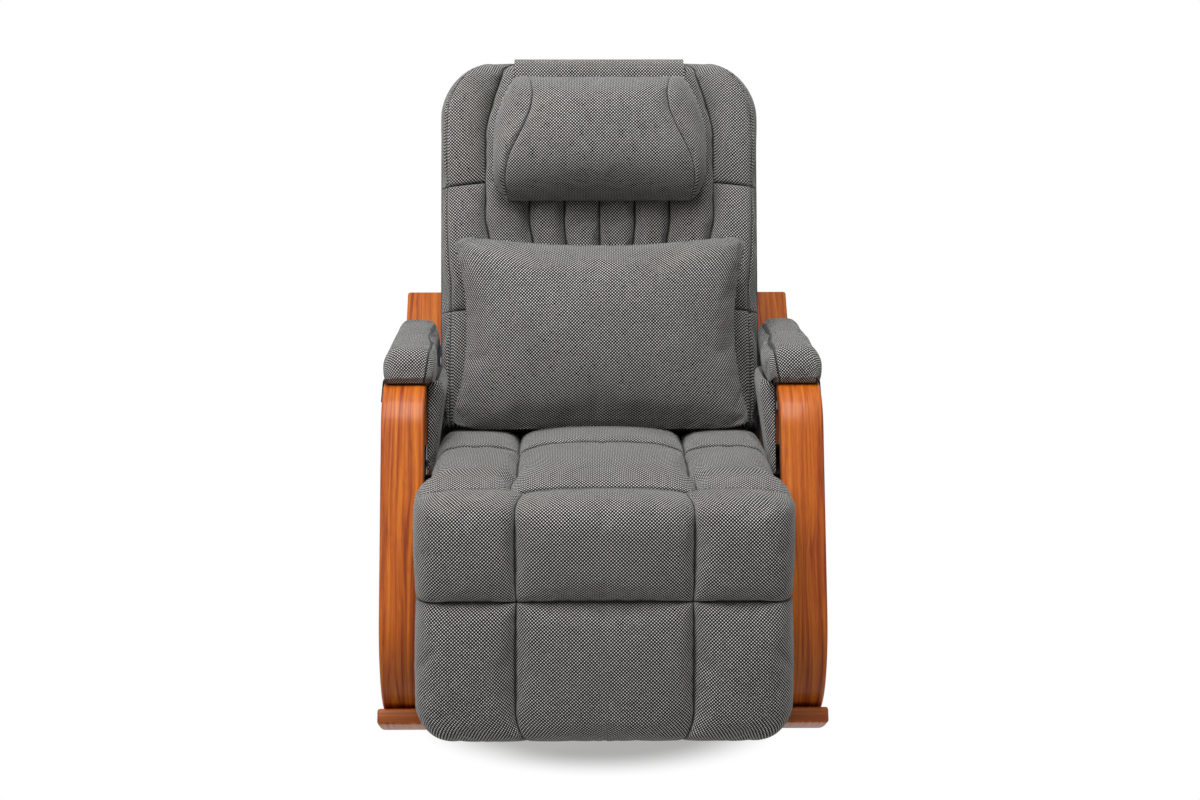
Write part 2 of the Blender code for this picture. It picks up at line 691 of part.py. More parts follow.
box("seat_board", (-SEAT_BOARD_HALF, SEAT_BOARD_HALF), (SEAT_FRONT + SEAT_BOARD_THICK, SEAT_REAR),
    (SEAT_BOARD_TOP - SEAT_BOARD_THICK, SEAT_BOARD_TOP), PLYWOOD)

# Seat cushion: three columns and two rows of sewn panels
seat_columns = [-SEAT_HALF, -COLUMN_SEAM, COLUMN_SEAM, SEAT_HALF]
seat_rows = [SEAT_FRONT, SEAT_ROW_SEAM, SEAT_REAR]


def seat_shape(x, y):
    row = swell(y, seat_rows)
    puff = swell(x, seat_columns) * row * (1 if abs(x) <= COLUMN_SEAM else SIDE_COLUMN_CROWN)
    edge = rim(x / SEAT_HALF, FLAT_RIM) * rim(share_of(y, SEAT_FRONT, SEAT_REAR), FLAT_RIM)
    drawn = SEAT_HALF - SEAM_DRAW * (1 - row)
    return x * drawn / SEAT_HALF, y, SEAT_BASE + (SEAT_HIGH + SEAT_CROWN * puff) * edge


cushion("seat_cushion", panel_lines(seat_columns, 8), panel_lines(seat_rows, 9), seat_shape, FABRIC)

# Legrest: board, hinges and a cushion with three columns and two rows
legrest_pivot = pivot("legrest_pivot", (0, LEG_PIN_Y, LEG_PIN_Z))
bpy.context.view_layer.update()
from_pin = Matrix.Translation((0, -LEG_PIN_Y, -LEG_PIN_Z))


def hang_from_pin(obj):
    """Give a legrest piece its origin on the hinge line."""
    obj.data.transform(from_pin)
    obj.parent = legrest_pivot
    return obj


leg_board_top = LEG_PIN_Z - HINGE_EYE - LEG_BOARD_THICK
hang_from_pin(box("legrest_board", (-LEG_BOARD_HALF, LEG_BOARD_HALF),
                  (LEG_BOARD_REAR - LEG_BOARD_THICK, LEG_BOARD_REAR),
                  (LEG_BOTTOM + LEG_CORNER, leg_board_top), PLYWOOD))
for side, sign in (("left", -1), ("right", 1)):
    hinge_outer = SIDE_BAR_X - LUG_THICK / 2 - GAP
    hinge_span = sorted((sign * (hinge_outer - HINGE_WIDE), sign * hinge_outer))
    leaf = box(f"legrest_hinge_{side}", hinge_span, (LEG_BOARD_REAR + GAP, LEG_BOARD_REAR + GAP + HINGE_LEAF),
               (LEG_PIN_Z - HINGE_LONG, LEG_PIN_Z), BLACK_STEEL)
    eye = cylinder("eye", (hinge_span[0], LEG_PIN_Y, LEG_PIN_Z), (hinge_span[1], LEG_PIN_Y, LEG_PIN_Z),
                   HINGE_EYE, BLACK_STEEL)
    combine(leaf, [eye], "UNION")
    combine(leaf, [along_pin(LEG_PIN + SLIP)], "DIFFERENCE")
    hang_from_pin(leaf)

leg_columns = [-LEG_HALF, -COLUMN_SEAM, COLUMN_SEAM, LEG_HALF]
leg_rows = [LEG_BOTTOM, LEG_ROW_SEAM, LEG_TOP]


def legrest_shape(x, z):
    row = swell(z, leg_rows)
    puff = swell(x, leg_columns) * row
    edge = rim(x / LEG_HALF, FLAT_RIM) * rim(share_of(z, LEG_BOTTOM, LEG_TOP), FLAT_RIM)
    drawn = LEG_HALF - SEAM_DRAW * (1 - row) - corner_inset(LEG_BOTTOM + LEG_CORNER - z, LEG_CORNER)
    return x * drawn / LEG_HALF, LEG_BASE - (LEG_THICK + LEG_CROWN * puff) * edge, z


hang_from_pin(cushion("legrest_cushion", panel_lines(leg_columns, 8), panel_lines(leg_rows, 9), legrest_shape,
                      FABRIC))

# Back: everything below is measured from its pivot, along its own leaning frame
cylinder("recline_axle", (-PLATE_INNER - PLATE_THICK, PIVOT_Y, PIVOT_Z),
         (PLATE_INNER + PLATE_THICK, PIVOT_Y, PIVOT_Z), AXLE, BRIGHT_STEEL)
for side, sign in (("left", -1), ("right", 1)):
    ratchet = cylinder(f"recline_ratchet_{side}", (sign * (tube_reach - RATCHET_WIDE), PIVOT_Y, PIVOT_Z),
                       (sign * tube_reach, PIVOT_Y, PIVOT_Z), RATCHET, BLACK_STEEL, sides=28)
    combine(ratchet, [through_hole(PIVOT_Y, PIVOT_Z, AXLE + SLIP, sign)], "DIFFERENCE")

back = pivot("back_pivot", (0, PIVOT_Y, PIVOT_Z), BACK_LEAN)
upright_top = CAVITY_TOP - GAP
bar_reach = UPRIGHT_X - UPRIGHT - GAP
for side, sign in (("left", -1), ("right", 1)):
    x = sign * UPRIGHT_X
    upright = tube(f"back_upright_{side}", [(x, 0, 0), (x, 0, SLEEVE), (x, UPRIGHT_Y, LOWER_BAR),
                                            (x, UPRIGHT_Y, upright_top)], UPRIGHT, BLACK_STEEL, back)
    sleeve = cylinder("sleeve", (x - SLEEVE_WIDE / 2, 0, 0), (x + SLEEVE_WIDE / 2, 0, 0), SLEEVE,
                      BLACK_STEEL, back)
    combine(upright, [sleeve], "UNION")
    bore = cylinder("bore", (-BOW_INNER, 0, 0), (BOW_INNER, 0, 0), AXLE + SLIP, BLACK_STEEL, back)
    combine(upright, [bore], "DIFFERENCE")
for place, z in (("lower", LOWER_BAR), ("upper", UPPER_BAR)):
    bar = box(f"back_{place}_bar", (-bar_reach, bar_reach), (RAIL_Y - BAR_DEEP / 2, RAIL_Y + BAR_DEEP / 2),
              (z, z + BAR_HIGH), BLACK_STEEL, back)
    bore = cylinder("bore", (0, RAIL_Y, 0), (0, RAIL_Y, BACK_TOP), JOURNAL + SLIP, BLACK_STEEL, back)
    combine(bar, [bore], "DIFFERENCE")


def back_half(z):
    """Half the width of the back's outline at a height."""
    return BACK_HALF - corner_inset(z - BACK_TOP + BACK_CORNER, BACK_CORNER)


def bolster_seam(z):
    """Half the width between the two bowed bolster seams at a height."""
    return BOLSTER_SEAM - BOLSTER_BOW * min(abs(z - BOLSTER_MID), BOLSTER_REACH) ** 2


bolster_rows = [BACK_FOOT, BOLSTER_LOW_SEAM, BOLSTER_HIGH_SEAM, BACK_TOP]
channel_seams = [CHANNEL_PITCH * i / BOLSTER_SEAM * BOLSTER_SHARE for i in range(-2, 3)]
pad_seams = [-1.0, -BOLSTER_SHARE, *channel_seams, BOLSTER_SHARE, 1.0]


def pad_shape(share, z):
    """The front pad: channels in the middle and a bolster outside each bowed seam."""
    half = back_half(z) - PAD_INSET
    seam = min(bolster_seam(z), half * BOLSTER_SHARE)
    puff = swell(share, pad_seams)
    if abs(share) <= BOLSTER_SHARE:
        x = seam * share / BOLSTER_SHARE
    else:
        x = copysign(seam + (half - seam) * (abs(share) - BOLSTER_SHARE) / (1 - BOLSTER_SHARE), share)
        puff *= BOLSTER_FLAT + (1 - BOLSTER_FLAT) * swell(z, bolster_rows)
    edge = rim(share, FLAT_RIM) * rim(share_of(z, BACK_FOOT, BACK_TOP), FLAT_RIM)
    return x, PAD_REAR - (PAD_THICK + PAD_CROWN * puff) * edge, z


def shell_shape(share, z):
    edge = rim(share, SHELL_RIM) * rim(share_of(z, BACK_FOOT, BACK_TOP), SHELL_RIM)
    return back_half(z) * share, PAD_REAR + GAP + SHELL_DEEP * edge, z


cushion("back_cushion", panel_lines(pad_seams, 4), panel_lines(bolster_rows, 7), pad_shape, FABRIC, back)
shell = cushion("back_shell", panel_lines([-1.0, 1.0], 14), panel_lines([BACK_FOOT, BACK_TOP], 14),
                shell_shape, FABRIC, back)
cavity = box("cavity", (-CAVITY_HALF, CAVITY_HALF), (PAD_REAR - PAD_THICK, PAD_REAR + CAVITY_DEEP),
             (-BACK_FOOT, CAVITY_TOP), LINING, back)
combine(shell, [cavity], "DIFFERENCE")

# Massage drive in the back: guide rods, lead screw, motor, carriage and the two kneading heads
rod_foot = LOWER_BAR + BAR_HIGH + GAP
rod_top = UPPER_BAR - GAP
for side, sign in (("left", -1), ("right", 1)):
    cylinder(f"guide_rod_{side}", (sign * ROD_X, RAIL_Y, rod_foot), (sign * ROD_X, RAIL_Y, rod_top), ROD,
             BRIGHT_STEEL, back, sides=16)
screw_profile = [(JOURNAL, UPPER_BAR + BAR_HIGH), (JOURNAL, rod_top), (SCREW, rod_top), (SCREW, rod_foot),
                 (JOURNAL, rod_foot), (JOURNAL, LOWER_BAR)]
turned("lead_screw", screw_profile, (0, RAIL_Y, 0), (0, 0, 1), BRIGHT_STEEL, back, sides=16)
cylinder("lift_motor", (0, RAIL_Y, LOWER_BAR - GAP - MOTOR_LONG), (0, RAIL_Y, LOWER_BAR - GAP), MOTOR,
         BLACK_STEEL, back)

carriage_span = (CARRIAGE_FOOT, CARRIAGE_FOOT + CARRIAGE_HIGH)
carriage_front = RAIL_Y - CARRIAGE_DEEP / 2
block = box("carriage_block", (-CARRIAGE_HALF, CARRIAGE_HALF), (carriage_front, RAIL_Y + CARRIAGE_DEEP / 2),
            carriage_span, PLASTIC, back)
bores = [cylinder("bore", (x, RAIL_Y, 0), (x, RAIL_Y, BACK_TOP), radius + SLIP, PLASTIC, back, sides=16)
         for x, radius in ((-ROD_X, ROD), (0, SCREW), (ROD_X, ROD))]
combine(block, bores, "DIFFERENCE")
gearbox_rear = carriage_front - GAP
gearbox_front = gearbox_rear - GEARBOX_DEEP
box("kneading_gearbox", (-GEARBOX_HALF, GEARBOX_HALF), (gearbox_front, gearbox_rear), carriage_span, PLASTIC,
    back, edge=GEARBOX_EDGE)
motor_y = gearbox_front + GEARBOX_DEEP / 2
cylinder("kneading_motor", (0, motor_y, CARRIAGE_FOOT - GAP - KNEAD_MOTOR_LONG),
         (0, motor_y, CARRIAGE_FOOT - GAP), KNEAD_MOTOR, BRIGHT_STEEL, back)
for side, sign in (("left", -1), ("right", 1)):
    middle = Vector((sign * KNEAD_X, gearbox_front - GAP, CARRIAGE_FOOT + CARRIAGE_HIGH / 2))
    head = cylinder(f"kneading_head_{side}", (0, 0, 0), (0, -HUB_DEEP, 0), KNEAD_HUB, RUBBER, back, sides=16)
    head.location = middle
    pieces = [box("arm", (-KNEAD_ARM, KNEAD_ARM), (-ARM_FACE, -ARM_REAR),
                  (-ROLLER / 2, ROLLER / 2), RUBBER, back)]
    for end in (-KNEAD_ARM, KNEAD_ARM):
        pieces.append(cylinder("roller", (end, -ROLLER_REAR, 0), (end, -HEAD_DEEP, 0), ROLLER, RUBBER, back,
                               sides=16))
    for piece in pieces:
        piece.location = middle
    combine(head, pieces, "UNION")

# Head pillow with its strap over the top of the back
pad_front = PAD_REAR - PAD_THICK - PAD_CROWN
strap_front = pad_front - GAP - STRAP_THICK / 2
strap_rear = PAD_REAR + GAP + SHELL_DEEP + GAP + STRAP_THICK / 2
strap_top = BACK_TOP + GAP + STRAP_THICK / 2
strap_path = rounded([(strap_front, BACK_TOP - STRAP_FRONT_LONG), (strap_front, strap_top),
                      (strap_rear, strap_top), (strap_rear, BACK_TOP - STRAP_REAR_LONG)],
                     [STRAP_BEND, STRAP_BEND])
plate("headrest_strap", strip(strap_path, STRAP_THICK), -STRAP_HALF, STRAP_HALF, FABRIC, back)
pillow_rear = strap_front - STRAP_THICK / 2 - GAP
pillow_rows = [PILLOW_FOOT, PILLOW_FOOT + PILLOW_HIGH]


def pillow_shape(share, z):
    """The head pillow: a soft roll with a rounded gusset at each end."""
    lift = share_of(z, *pillow_rows)
    edge = rim(share, PILLOW_RIM) * rim(lift, ROLL_RIM)
    half = PILLOW_HALF - PILLOW_DRAW * lift ** 2
    return share * half, pillow_rear - PILLOW_THICK * edge, z


cushion("headrest_pillow", panel_lines([-1.0, 1.0], 20), panel_lines(pillow_rows, 12), pillow_shape,
        FABRIC, back)

# Loose lumbar pillow with a knife edge
lumbar_rows = [LUMBAR_FOOT, LUMBAR_FOOT + LUMBAR_HIGH]
lumbar_middle = pad_front - GAP - LUMBAR_THICK / 2


def lumbar_point(share, z, facing):
    lift = share_of(z, *lumbar_rows)
    dome = ((1 - share ** 2) * (1 - lift ** 2)) ** KNIFE_ROUND
    depth = (LUMBAR_EDGE + (LUMBAR_THICK - LUMBAR_EDGE) * dome) / 2
    x = share * (LUMBAR_HALF - LUMBAR_DRAW * (1 - lift ** 2))
    rise = LUMBAR_END_DRAW * lift * (1 - share ** 2)
    return x, lumbar_middle + facing * depth, z - rise


cushion("lumbar_pillow", panel_lines([-1.0, 1.0], 18), panel_lines(lumbar_rows, 14),
        lambda share, z: lumbar_point(share, z, -1), FABRIC, back,
        rear=lambda share, z: lumbar_point(share, z, 1))

# Arm pads with their flaps, and the padded side panels below their inner edges
panel_outline = [(PANEL_FRONT_TOP, ARM_TOP), (PANEL_FRONT, PANEL_FOOT), (PANEL_REAR, PANEL_FOOT),
                 (PANEL_REAR_TOP, ARM_TOP)]


def arm_pad_shape(share, y, sign):
    """An arm pad that is narrower where it passes the back."""
    passing = min(max((y - PASS_START) / (PASS_END - PASS_START), 0.0), 1.0)
    inner = ARM_PAD_INNER + (ARM_PAD_PASS - ARM_PAD_INNER) * passing
    edge = rim(share, ROLL_RIM) * rim(share_of(y, ARM_PAD_FRONT, ARM_PAD_REAR), ARM_END_RIM)
    x = (inner + ARM_PAD_OUTER) / 2 + share * (ARM_PAD_OUTER - inner) / 2
    return sign * x, y, ARM_TOP + GAP + ARM_PAD_HIGH * edge


for side, sign in (("left", -1), ("right", 1)):
    cushion(f"arm_pad_{side}", panel_lines([-1.0, 1.0], 10), panel_lines([ARM_PAD_FRONT, ARM_PAD_REAR], 16),
            lambda share, y, sign=sign: arm_pad_shape(share, y, sign), FABRIC)
    flap_span = sorted((sign * (BOW_OUTER + GAP), sign * (BOW_OUTER + GAP + FLAP_THICK)))
    box(f"arm_flap_{side}", flap_span, (FLAP_FRONT, FLAP_REAR), (ARM_TOP - FLAP_HIGH, ARM_TOP), LINING)
    panel_span = sorted((sign * (BOW_INNER - GAP - PANEL_THICK), sign * (BOW_INNER - GAP)))
    plate(f"side_panel_{side}", panel_outline, *panel_span, FABRIC, edge=PANEL_EDGE)

# Power supply under the seat, with its inlet and rocker switch
box_top = TUBE_Z - TUBE - GAP
box("power_box", (-BOX_HALF, BOX_HALF), (BOX_FRONT, BOX_REAR), (box_top - BOX_HIGH, box_top), PLASTIC,
    edge=BOX_EDGE)
inlet_mouth = BOX_REAR + GAP + INLET_DEEP
inlet_z = box_top - BOX_HIGH / 2
inlet = box("power_inlet", (-INLET_HALF, INLET_HALF), (BOX_REAR + GAP, inlet_mouth),
            (inlet_z - INLET_HIGH / 2, inlet_z + INLET_HIGH / 2), PLASTIC)
socket = box("socket", (-SOCKET_OUTER, -SOCKET_INNER),
             (inlet_mouth - SWITCH_DEEP, inlet_mouth + INLET_DEEP),
             (inlet_z - SWITCH_HIGH, inlet_z + SWITCH_HIGH), PLASTIC)
switch_x = INLET_HALF / 2
well = box("well", (switch_x - SWITCH_HALF - SLIP, switch_x + SWITCH_HALF + SLIP),
           (inlet_mouth - SWITCH_DEEP, inlet_mouth + INLET_DEEP),
           (inlet_z - SWITCH_HIGH - SWITCH_ROOM, inlet_z + SWITCH_HIGH + SWITCH_ROOM), PLASTIC)
combine(inlet, [socket, well], "DIFFERENCE")
switch = box("power_switch", (-SWITCH_HALF, SWITCH_HALF), (-SWITCH_DEEP / 2, SWITCH_DEEP / 2),
             (-SWITCH_HIGH, SWITCH_HIGH), RUBBER)
switch.location = (switch_x, inlet_mouth - SWITCH_ROOM, inlet_z)
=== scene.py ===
"""Massage rocking chair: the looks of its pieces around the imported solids, in the same frame. It faces -Y."""
from math import asin, ceil, copysign, cos, pi, radians, sin, sqrt, tan

import bpy
from mathutils import Matrix, Vector
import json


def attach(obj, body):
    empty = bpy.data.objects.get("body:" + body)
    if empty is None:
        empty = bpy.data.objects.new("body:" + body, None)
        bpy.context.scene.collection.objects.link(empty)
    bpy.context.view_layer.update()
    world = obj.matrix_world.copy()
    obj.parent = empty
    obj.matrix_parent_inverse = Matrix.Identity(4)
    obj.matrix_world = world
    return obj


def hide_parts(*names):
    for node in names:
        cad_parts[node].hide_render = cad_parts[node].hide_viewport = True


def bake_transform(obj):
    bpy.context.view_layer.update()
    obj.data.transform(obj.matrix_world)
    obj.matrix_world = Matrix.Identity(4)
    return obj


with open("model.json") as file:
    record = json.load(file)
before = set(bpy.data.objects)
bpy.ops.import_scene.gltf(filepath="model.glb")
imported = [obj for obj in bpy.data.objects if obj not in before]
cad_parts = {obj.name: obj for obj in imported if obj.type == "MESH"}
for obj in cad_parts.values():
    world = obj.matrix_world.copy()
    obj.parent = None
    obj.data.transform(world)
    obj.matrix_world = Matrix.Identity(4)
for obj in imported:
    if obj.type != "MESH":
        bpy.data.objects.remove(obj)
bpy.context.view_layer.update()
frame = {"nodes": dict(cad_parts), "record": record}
nodes = frame["nodes"]
scene = bpy.context.scene
scene.view_settings.view_transform = "Standard"

# Camera
# A 67 mm lens at 1.15 m, 3.4 m in front of the arms, tipped down ten degrees and turned slightly right.
bpy.ops.object.select_all(action="DESELECT")
bpy.ops.object.camera_add(location=(-0.053, -3.68, 1.15), rotation=(radians(80.0), 0.0, radians(-0.84)))
camera = bpy.context.object
camera.data.sensor_width = 36.0
camera.data.lens = 67.2
scene.camera = camera


# Studio
# A pale paper floor that runs out to plain white, under a wide overhead softbox and two paler ones in front.
# The white that the camera and the gloss see is apart from the light that falls on the chair.
def linear(colour):
    """The linear values of an sRGB hex colour."""
    shares = [int(colour[i:i + 2], 16) / 255 for i in (1, 3, 5)]
    return (*((c / 12.92 if c <= 0.04045 else ((c + 0.055) / 1.055) ** 2.4) for c in shares), 1.0)


def add(tree, kind, inputs=None, **settings):
    """A new node with its settings, and its inputs given as values or as the sockets that feed them."""
    node = tree.nodes.new(kind)
    for key, value in settings.items():
        setattr(node, key, value)
    for socket, value in (inputs or {}).items():
        if isinstance(value, bpy.types.NodeSocket):
            tree.links.new(value, node.inputs[socket])
        else:
            node.inputs[socket].default_value = value
    return node


def reckon(tree, operation, *values, kind="ShaderNodeMath"):
    """The outcome of one step of arithmetic on numbers and sockets."""
    return add(tree, kind, dict(enumerate(values)), operation=operation).outputs[0]


def reckon_vector(tree, operation, *values):
    """The outcome of one step of arithmetic on vectors."""
    return reckon(tree, operation, *values, kind="ShaderNodeVectorMath")


def ranged(tree, value, low, high, first=0.0, last=1.0, kind="LINEAR"):
    """A value carried over from one range to another, and held at its ends."""
    ends = {"Value": value, "From Min": low, "From Max": high, "To Min": first, "To Max": last}
    return add(tree, "ShaderNodeMapRange", ends, interpolation_type=kind).outputs["Result"]


def two_tone(tree, share, first, second):
    """A mix of two hex colours, by the share that a socket gives."""
    colours = {0: share, 6: linear(first), 7: linear(second)}
    return add(tree, "ShaderNodeMix", colours, data_type="RGBA").outputs[2]


def seen_directly(tree):
    """1 for rays from the camera and for mirrored or refracted ones, 0 for the rays that carry light."""
    path = add(tree, "ShaderNodeLightPath").outputs
    either = reckon(tree, "MAXIMUM", path["Is Camera Ray"], path["Is Glossy Ray"])
    return reckon(tree, "MAXIMUM", either, path["Is Transmission Ray"])


SHADOW_WIDE = 0.31  # from the chair's middle to where the paper is white
SHADOW_DEEP = 0.29
SHADOW_AHEAD = 0.16  # from the frame's origin forward to that middle
SHADOW_FADE = 0.58  # share of the way out where the shadow starts to fade
SHADOW_SHARE = 0.60  # how much of the shadow the paper shows
FIBRE_SIZE = 0.0025
bpy.ops.mesh.primitive_plane_add(size=24.0)
floor = bpy.context.object
floor.name = "studio_floor"
paper = bpy.data.materials.new("pale_paper")
paper.use_nodes = True
tree = paper.node_tree
tree.nodes.clear()
place = add(tree, "ShaderNodeTexCoord").outputs["Object"]
around = reckon_vector(tree, "ADD", place, (0.0, SHADOW_AHEAD, 0.0))
oval = reckon_vector(tree, "MULTIPLY", around, (1 / SHADOW_WIDE, 1 / SHADOW_DEEP, 0.0))
distance = add(tree, "ShaderNodeVectorMath", {0: oval}, operation="LENGTH")
fade = ranged(tree, distance.outputs["Value"], SHADOW_FADE, 1.0, 1 - SHADOW_SHARE, kind="SMOOTHSTEP")
share = reckon(tree, "MULTIPLY", fade, seen_directly(tree))
fibres = add(tree, "ShaderNodeTexNoise", {"Vector": place, "Scale": 1 / FIBRE_SIZE})
tint = two_tone(tree, fibres.outputs["Fac"], "#b4b3b1", "#bab9b7")
matt = add(tree, "ShaderNodeBsdfDiffuse", {"Color": tint})
white = add(tree, "ShaderNodeEmission", {"Color": linear("#ffffff"), "Strength": 1.0})
mixed = add(tree, "ShaderNodeMixShader", {0: share, 1: matt.outputs[0], 2: white.outputs[0]})
add(tree, "ShaderNodeOutputMaterial", {"Surface": mixed.outputs[0]})
floor.data.materials.append(paper)

world = bpy.data.worlds.new("studio")
world.use_nodes = True
scene.world = world
tree = world.node_tree
tree.nodes.clear()
dim = add(tree, "ShaderNodeBackground", {"Color": linear("#ffffff"), "Strength": 0.15})
white = add(tree, "ShaderNodeBackground", {"Color": linear("#ffffff"), "Strength": 1.0})
mixed = add(tree, "ShaderNodeMixShader", {0: seen_directly(tree), 1: dim.outputs[0], 2: white.outputs[0]})
add(tree, "ShaderNodeOutputWorld", {"Surface": mixed.outputs[0]})


def softbox(name, place, aim, size, power):
    """A square softbox that faces a point."""
    bpy.ops.object.light_add(type="AREA", location=place)
    lamp = bpy.context.object
    lamp.name = name
    lamp.rotation_euler = (Vector(aim) - Vector(place)).to_track_quat("-Z", "Y").to_euler()
    lamp.data.size = size
    lamp.data.energy = power


softbox("overhead_softbox", (-0.4, -1.6, 3.9), (0.0, -0.1, 0.5), 2.4, 195.0)
softbox("left_softbox", (-2.1, -2.3, 2.5), (0.0, -0.2, 0.6), 0.9, 34.0)
softbox("right_softbox", (2.5, -3.0, 2.0), (0.0, -0.2, 0.5), 1.6, 5.0)


# Bentwood sides
# Each side is a set of strips, glued up from thin plies round a former: the arm bow runs from its turned-up
# rear end over the arm and down the front leg to its foot, the rear leg stands under it, and both feet lie on
# the rocker.
STRIP_INNER = 0.2715
STRIP_OUTER = 0.3375
STRIP_THICK = 0.026
ROCKER_INNER = 0.2645
ROCKER_OUTER = 0.3445
ROCKER_THICK = 0.024
REST_Y = -0.112  # where the rocker stands on the floor
FLAT_HALF = 0.030
FRONT_CURVE = 0.620  # radii of the rocker before and behind its flat, and its reach there
REAR_CURVE = 1.400
ROCKER_NOSE = 0.293
ROCKER_TAIL = 0.667
CLEAR = 0.0003  # between pieces that lie on each other
ARM_LEVEL = 0.561  # middle of the arm's strip
REAR_LEVEL = ARM_LEVEL - STRIP_THICK - CLEAR
FOOT_LEVEL = ROCKER_THICK + CLEAR + STRIP_THICK / 2
LEG_LEAN = radians(19.2)
ARM_BEND = 0.075
TAIL_BEND = 0.090
FRONT_FOOT_BEND = 0.130
REAR_FOOT_BEND = 0.110
FINE_STEP = radians(2.5)
FINE_PITCH = 0.012
STRIP_EDGE = 0.0042
FACE_TILT = 0.6  # a board's face points up more than this, its edges less
PLY = 0.0026
GLUE_LINE = 0.16 * PLY
GRAIN_DRIFT = 0.036  # how far the dark lines wander
SIDES = (("left", -1), ("right", 1))


def arc(middle, start, end):
    """Points round a middle from start to end, the short way."""
    arm = start - middle
    turn = arm.angle_signed(end - middle)
    count = max(2, ceil(abs(turn) / FINE_STEP))
    return [middle + Matrix.Rotation(-turn * i / count, 2) @ arm for i in range(count + 1)]


def with_bends(corners, radii):
    """A line through (y, z) corners, with a bend of its radius at each inner corner."""
    corners = [Vector(corner) for corner in corners]
    path = [corners[0]]
    for before, corner, after, radius in zip(corners, corners[1:], corners[2:], radii):
        back = (before - corner).normalized()
        ahead = (after - corner).normalized()
        half = back.angle(ahead) / 2
        middle = corner + (back + ahead).normalized() * (radius / sin(half))
        reach = radius / tan(half)
        path += arc(middle, corner + back * reach, corner + ahead * reach)
    return path + [corners[-1]]


def rocker_middle(curve):
    """The centre of the rocker's front or rear arc."""
    return Vector((REST_Y, sqrt(curve ** 2 - FLAT_HALF ** 2)))


def along_rocker(curve, rise, start, end):
    """Points at a rise above the rocker's underside, between two depths."""
    radius = curve - rise
    first = asin((start - REST_Y) / radius)
    last = asin((end - REST_Y) / radius)
    count = max(2, ceil(abs(last - first) * radius / FINE_PITCH))
    angles = [first + (last - first) * i / count for i in range(count + 1)]
    return [rocker_middle(curve) + Vector((sin(angle), -cos(angle))) * radius for angle in angles]


def leg_line(corner, lean, bend, curve, foot_end):
    """Down a leg from its corner, round the bend above its foot and along the rocker's top."""
    down = Vector((-sin(lean), -cos(lean)))
    inward = Vector((cos(lean), -sin(lean))) * copysign(1, lean)
    reach = corner + inward * bend - rocker_middle(curve)
    fall = -reach.dot(down)
    fall += sqrt(fall ** 2 - reach.length_squared + (curve - FOOT_LEVEL - bend) ** 2)
    middle = corner + down * fall + inward * bend
    outward = (middle - rocker_middle(curve)).normalized()
    landing = rocker_middle(curve) + outward * (curve - FOOT_LEVEL)
    around = arc(middle, middle - inward * bend, landing)
    return around[:-1] + along_rocker(curve, FOOT_LEVEL, landing.x, foot_end)


def pick(piece):
    """Make this piece the only one selected."""
    bpy.ops.object.select_all(action="DESELECT")
    piece.select_set(True)
    bpy.context.view_layer.objects.active = piece


def on_whole_mesh(piece, operator, **options):
    """Run one mesh operator over all of a piece."""
    pick(piece)
    bpy.ops.object.mode_set(mode="EDIT")
    bpy.ops.mesh.select_all(action="SELECT")
    operator(**options)
    bpy.ops.object.mode_set(mode="OBJECT")


def apply_modifier(piece, kind, **settings):
    """Add a modifier with its settings to a piece, and apply it."""
    pick(piece)
    modifier = piece.modifiers.new(kind.lower(), kind)
    for key, value in settings.items():
        setattr(modifier, key, value)
    bpy.ops.object.modifier_apply(modifier=modifier.name)


def reaches(points):
    """How far along a line each of its points lies from the first."""
    lengths = [0.0]
    for first, second in zip(points, points[1:]):
        lengths.append(lengths[-1] + (second - first).length)
    return lengths


def laminated_strip(name, path, inner, outer, thick):
    """A straight board with eased edges, cut across at each point of its path and then bent round it."""
    stations = reaches(path)
    length = stations[-1]
    bpy.ops.object.select_all(action="DESELECT")
    bpy.ops.mesh.primitive_cube_add(size=1.0, location=((inner + outer) / 2, length / 2, 0.0))
    board = bpy.context.object
    board.name = name
    board.scale = (abs(outer - inner), length, thick)
    bpy.ops.object.transform_apply(location=True, rotation=True, scale=True)
    bpy.ops.object.mode_set(mode="EDIT")
    bpy.ops.mesh.select_all(action="SELECT")
    bpy.ops.mesh.bevel(offset=STRIP_EDGE, segments=3, profile=0.5)
    for station in stations[1:-1]:
        bpy.ops.mesh.select_all(action="SELECT")
        bpy.ops.mesh.bisect(plane_co=(0, station, 0), plane_no=(0, 1, 0))
    bpy.ops.object.mode_set(mode="OBJECT")

    mesh = board.data
    mesh.materials.append(LACQUERED_FACE)
    mesh.materials.append(LACQUERED_PLIES)
    grain = mesh.uv_layers.new(name="grain")
    for face in mesh.polygons:
        facing = abs(face.normal.z) > FACE_TILT
        face.material_index = 0 if facing else 1
        for corner in face.loop_indices:
            spot = mesh.vertices[mesh.loops[corner].vertex_index].co
            grain.data[corner].uv = (spot.y, spot.x if facing else spot.z)
    bpy.ops.object.shade_smooth_by_angle(angle=radians(35))

    normals = []
    for before, after in zip(path[:1] + path, path[1:] + path[-1:]):
        along = (after - before).normalized()
        normals.append(Vector((-along.y, along.x)))
    station = 0
    for vertex in sorted(mesh.vertices, key=lambda vertex: vertex.co.y):
        while station < len(path) - 2 and vertex.co.y > stations[station + 1]:
            station += 1
        share = (vertex.co.y - stations[station]) / (stations[station + 1] - stations[station])
        normal = normals[station].lerp(normals[station + 1], share).normalized()
        spot = path[station].lerp(path[station + 1], share) + normal * vertex.co.z
        vertex.co = (vertex.co.x, spot.x, spot.y)
    on_whole_mesh(board, bpy.ops.mesh.normals_make_consistent, inside=False)
    return board


# Lacquered beech-type veneer, stained orange-brown: long grain with a darker flame, under a clear satin coat.
# The grain has its real size, about 6 mm between dark lines and pores a millimetre wide.
LACQUER = {"Roughness": 0.48, "IOR": 1.45, "Specular_IOR_Level": 0.24,
           "Coat_Weight": 0.10, "Coat_Roughness": 0.16}


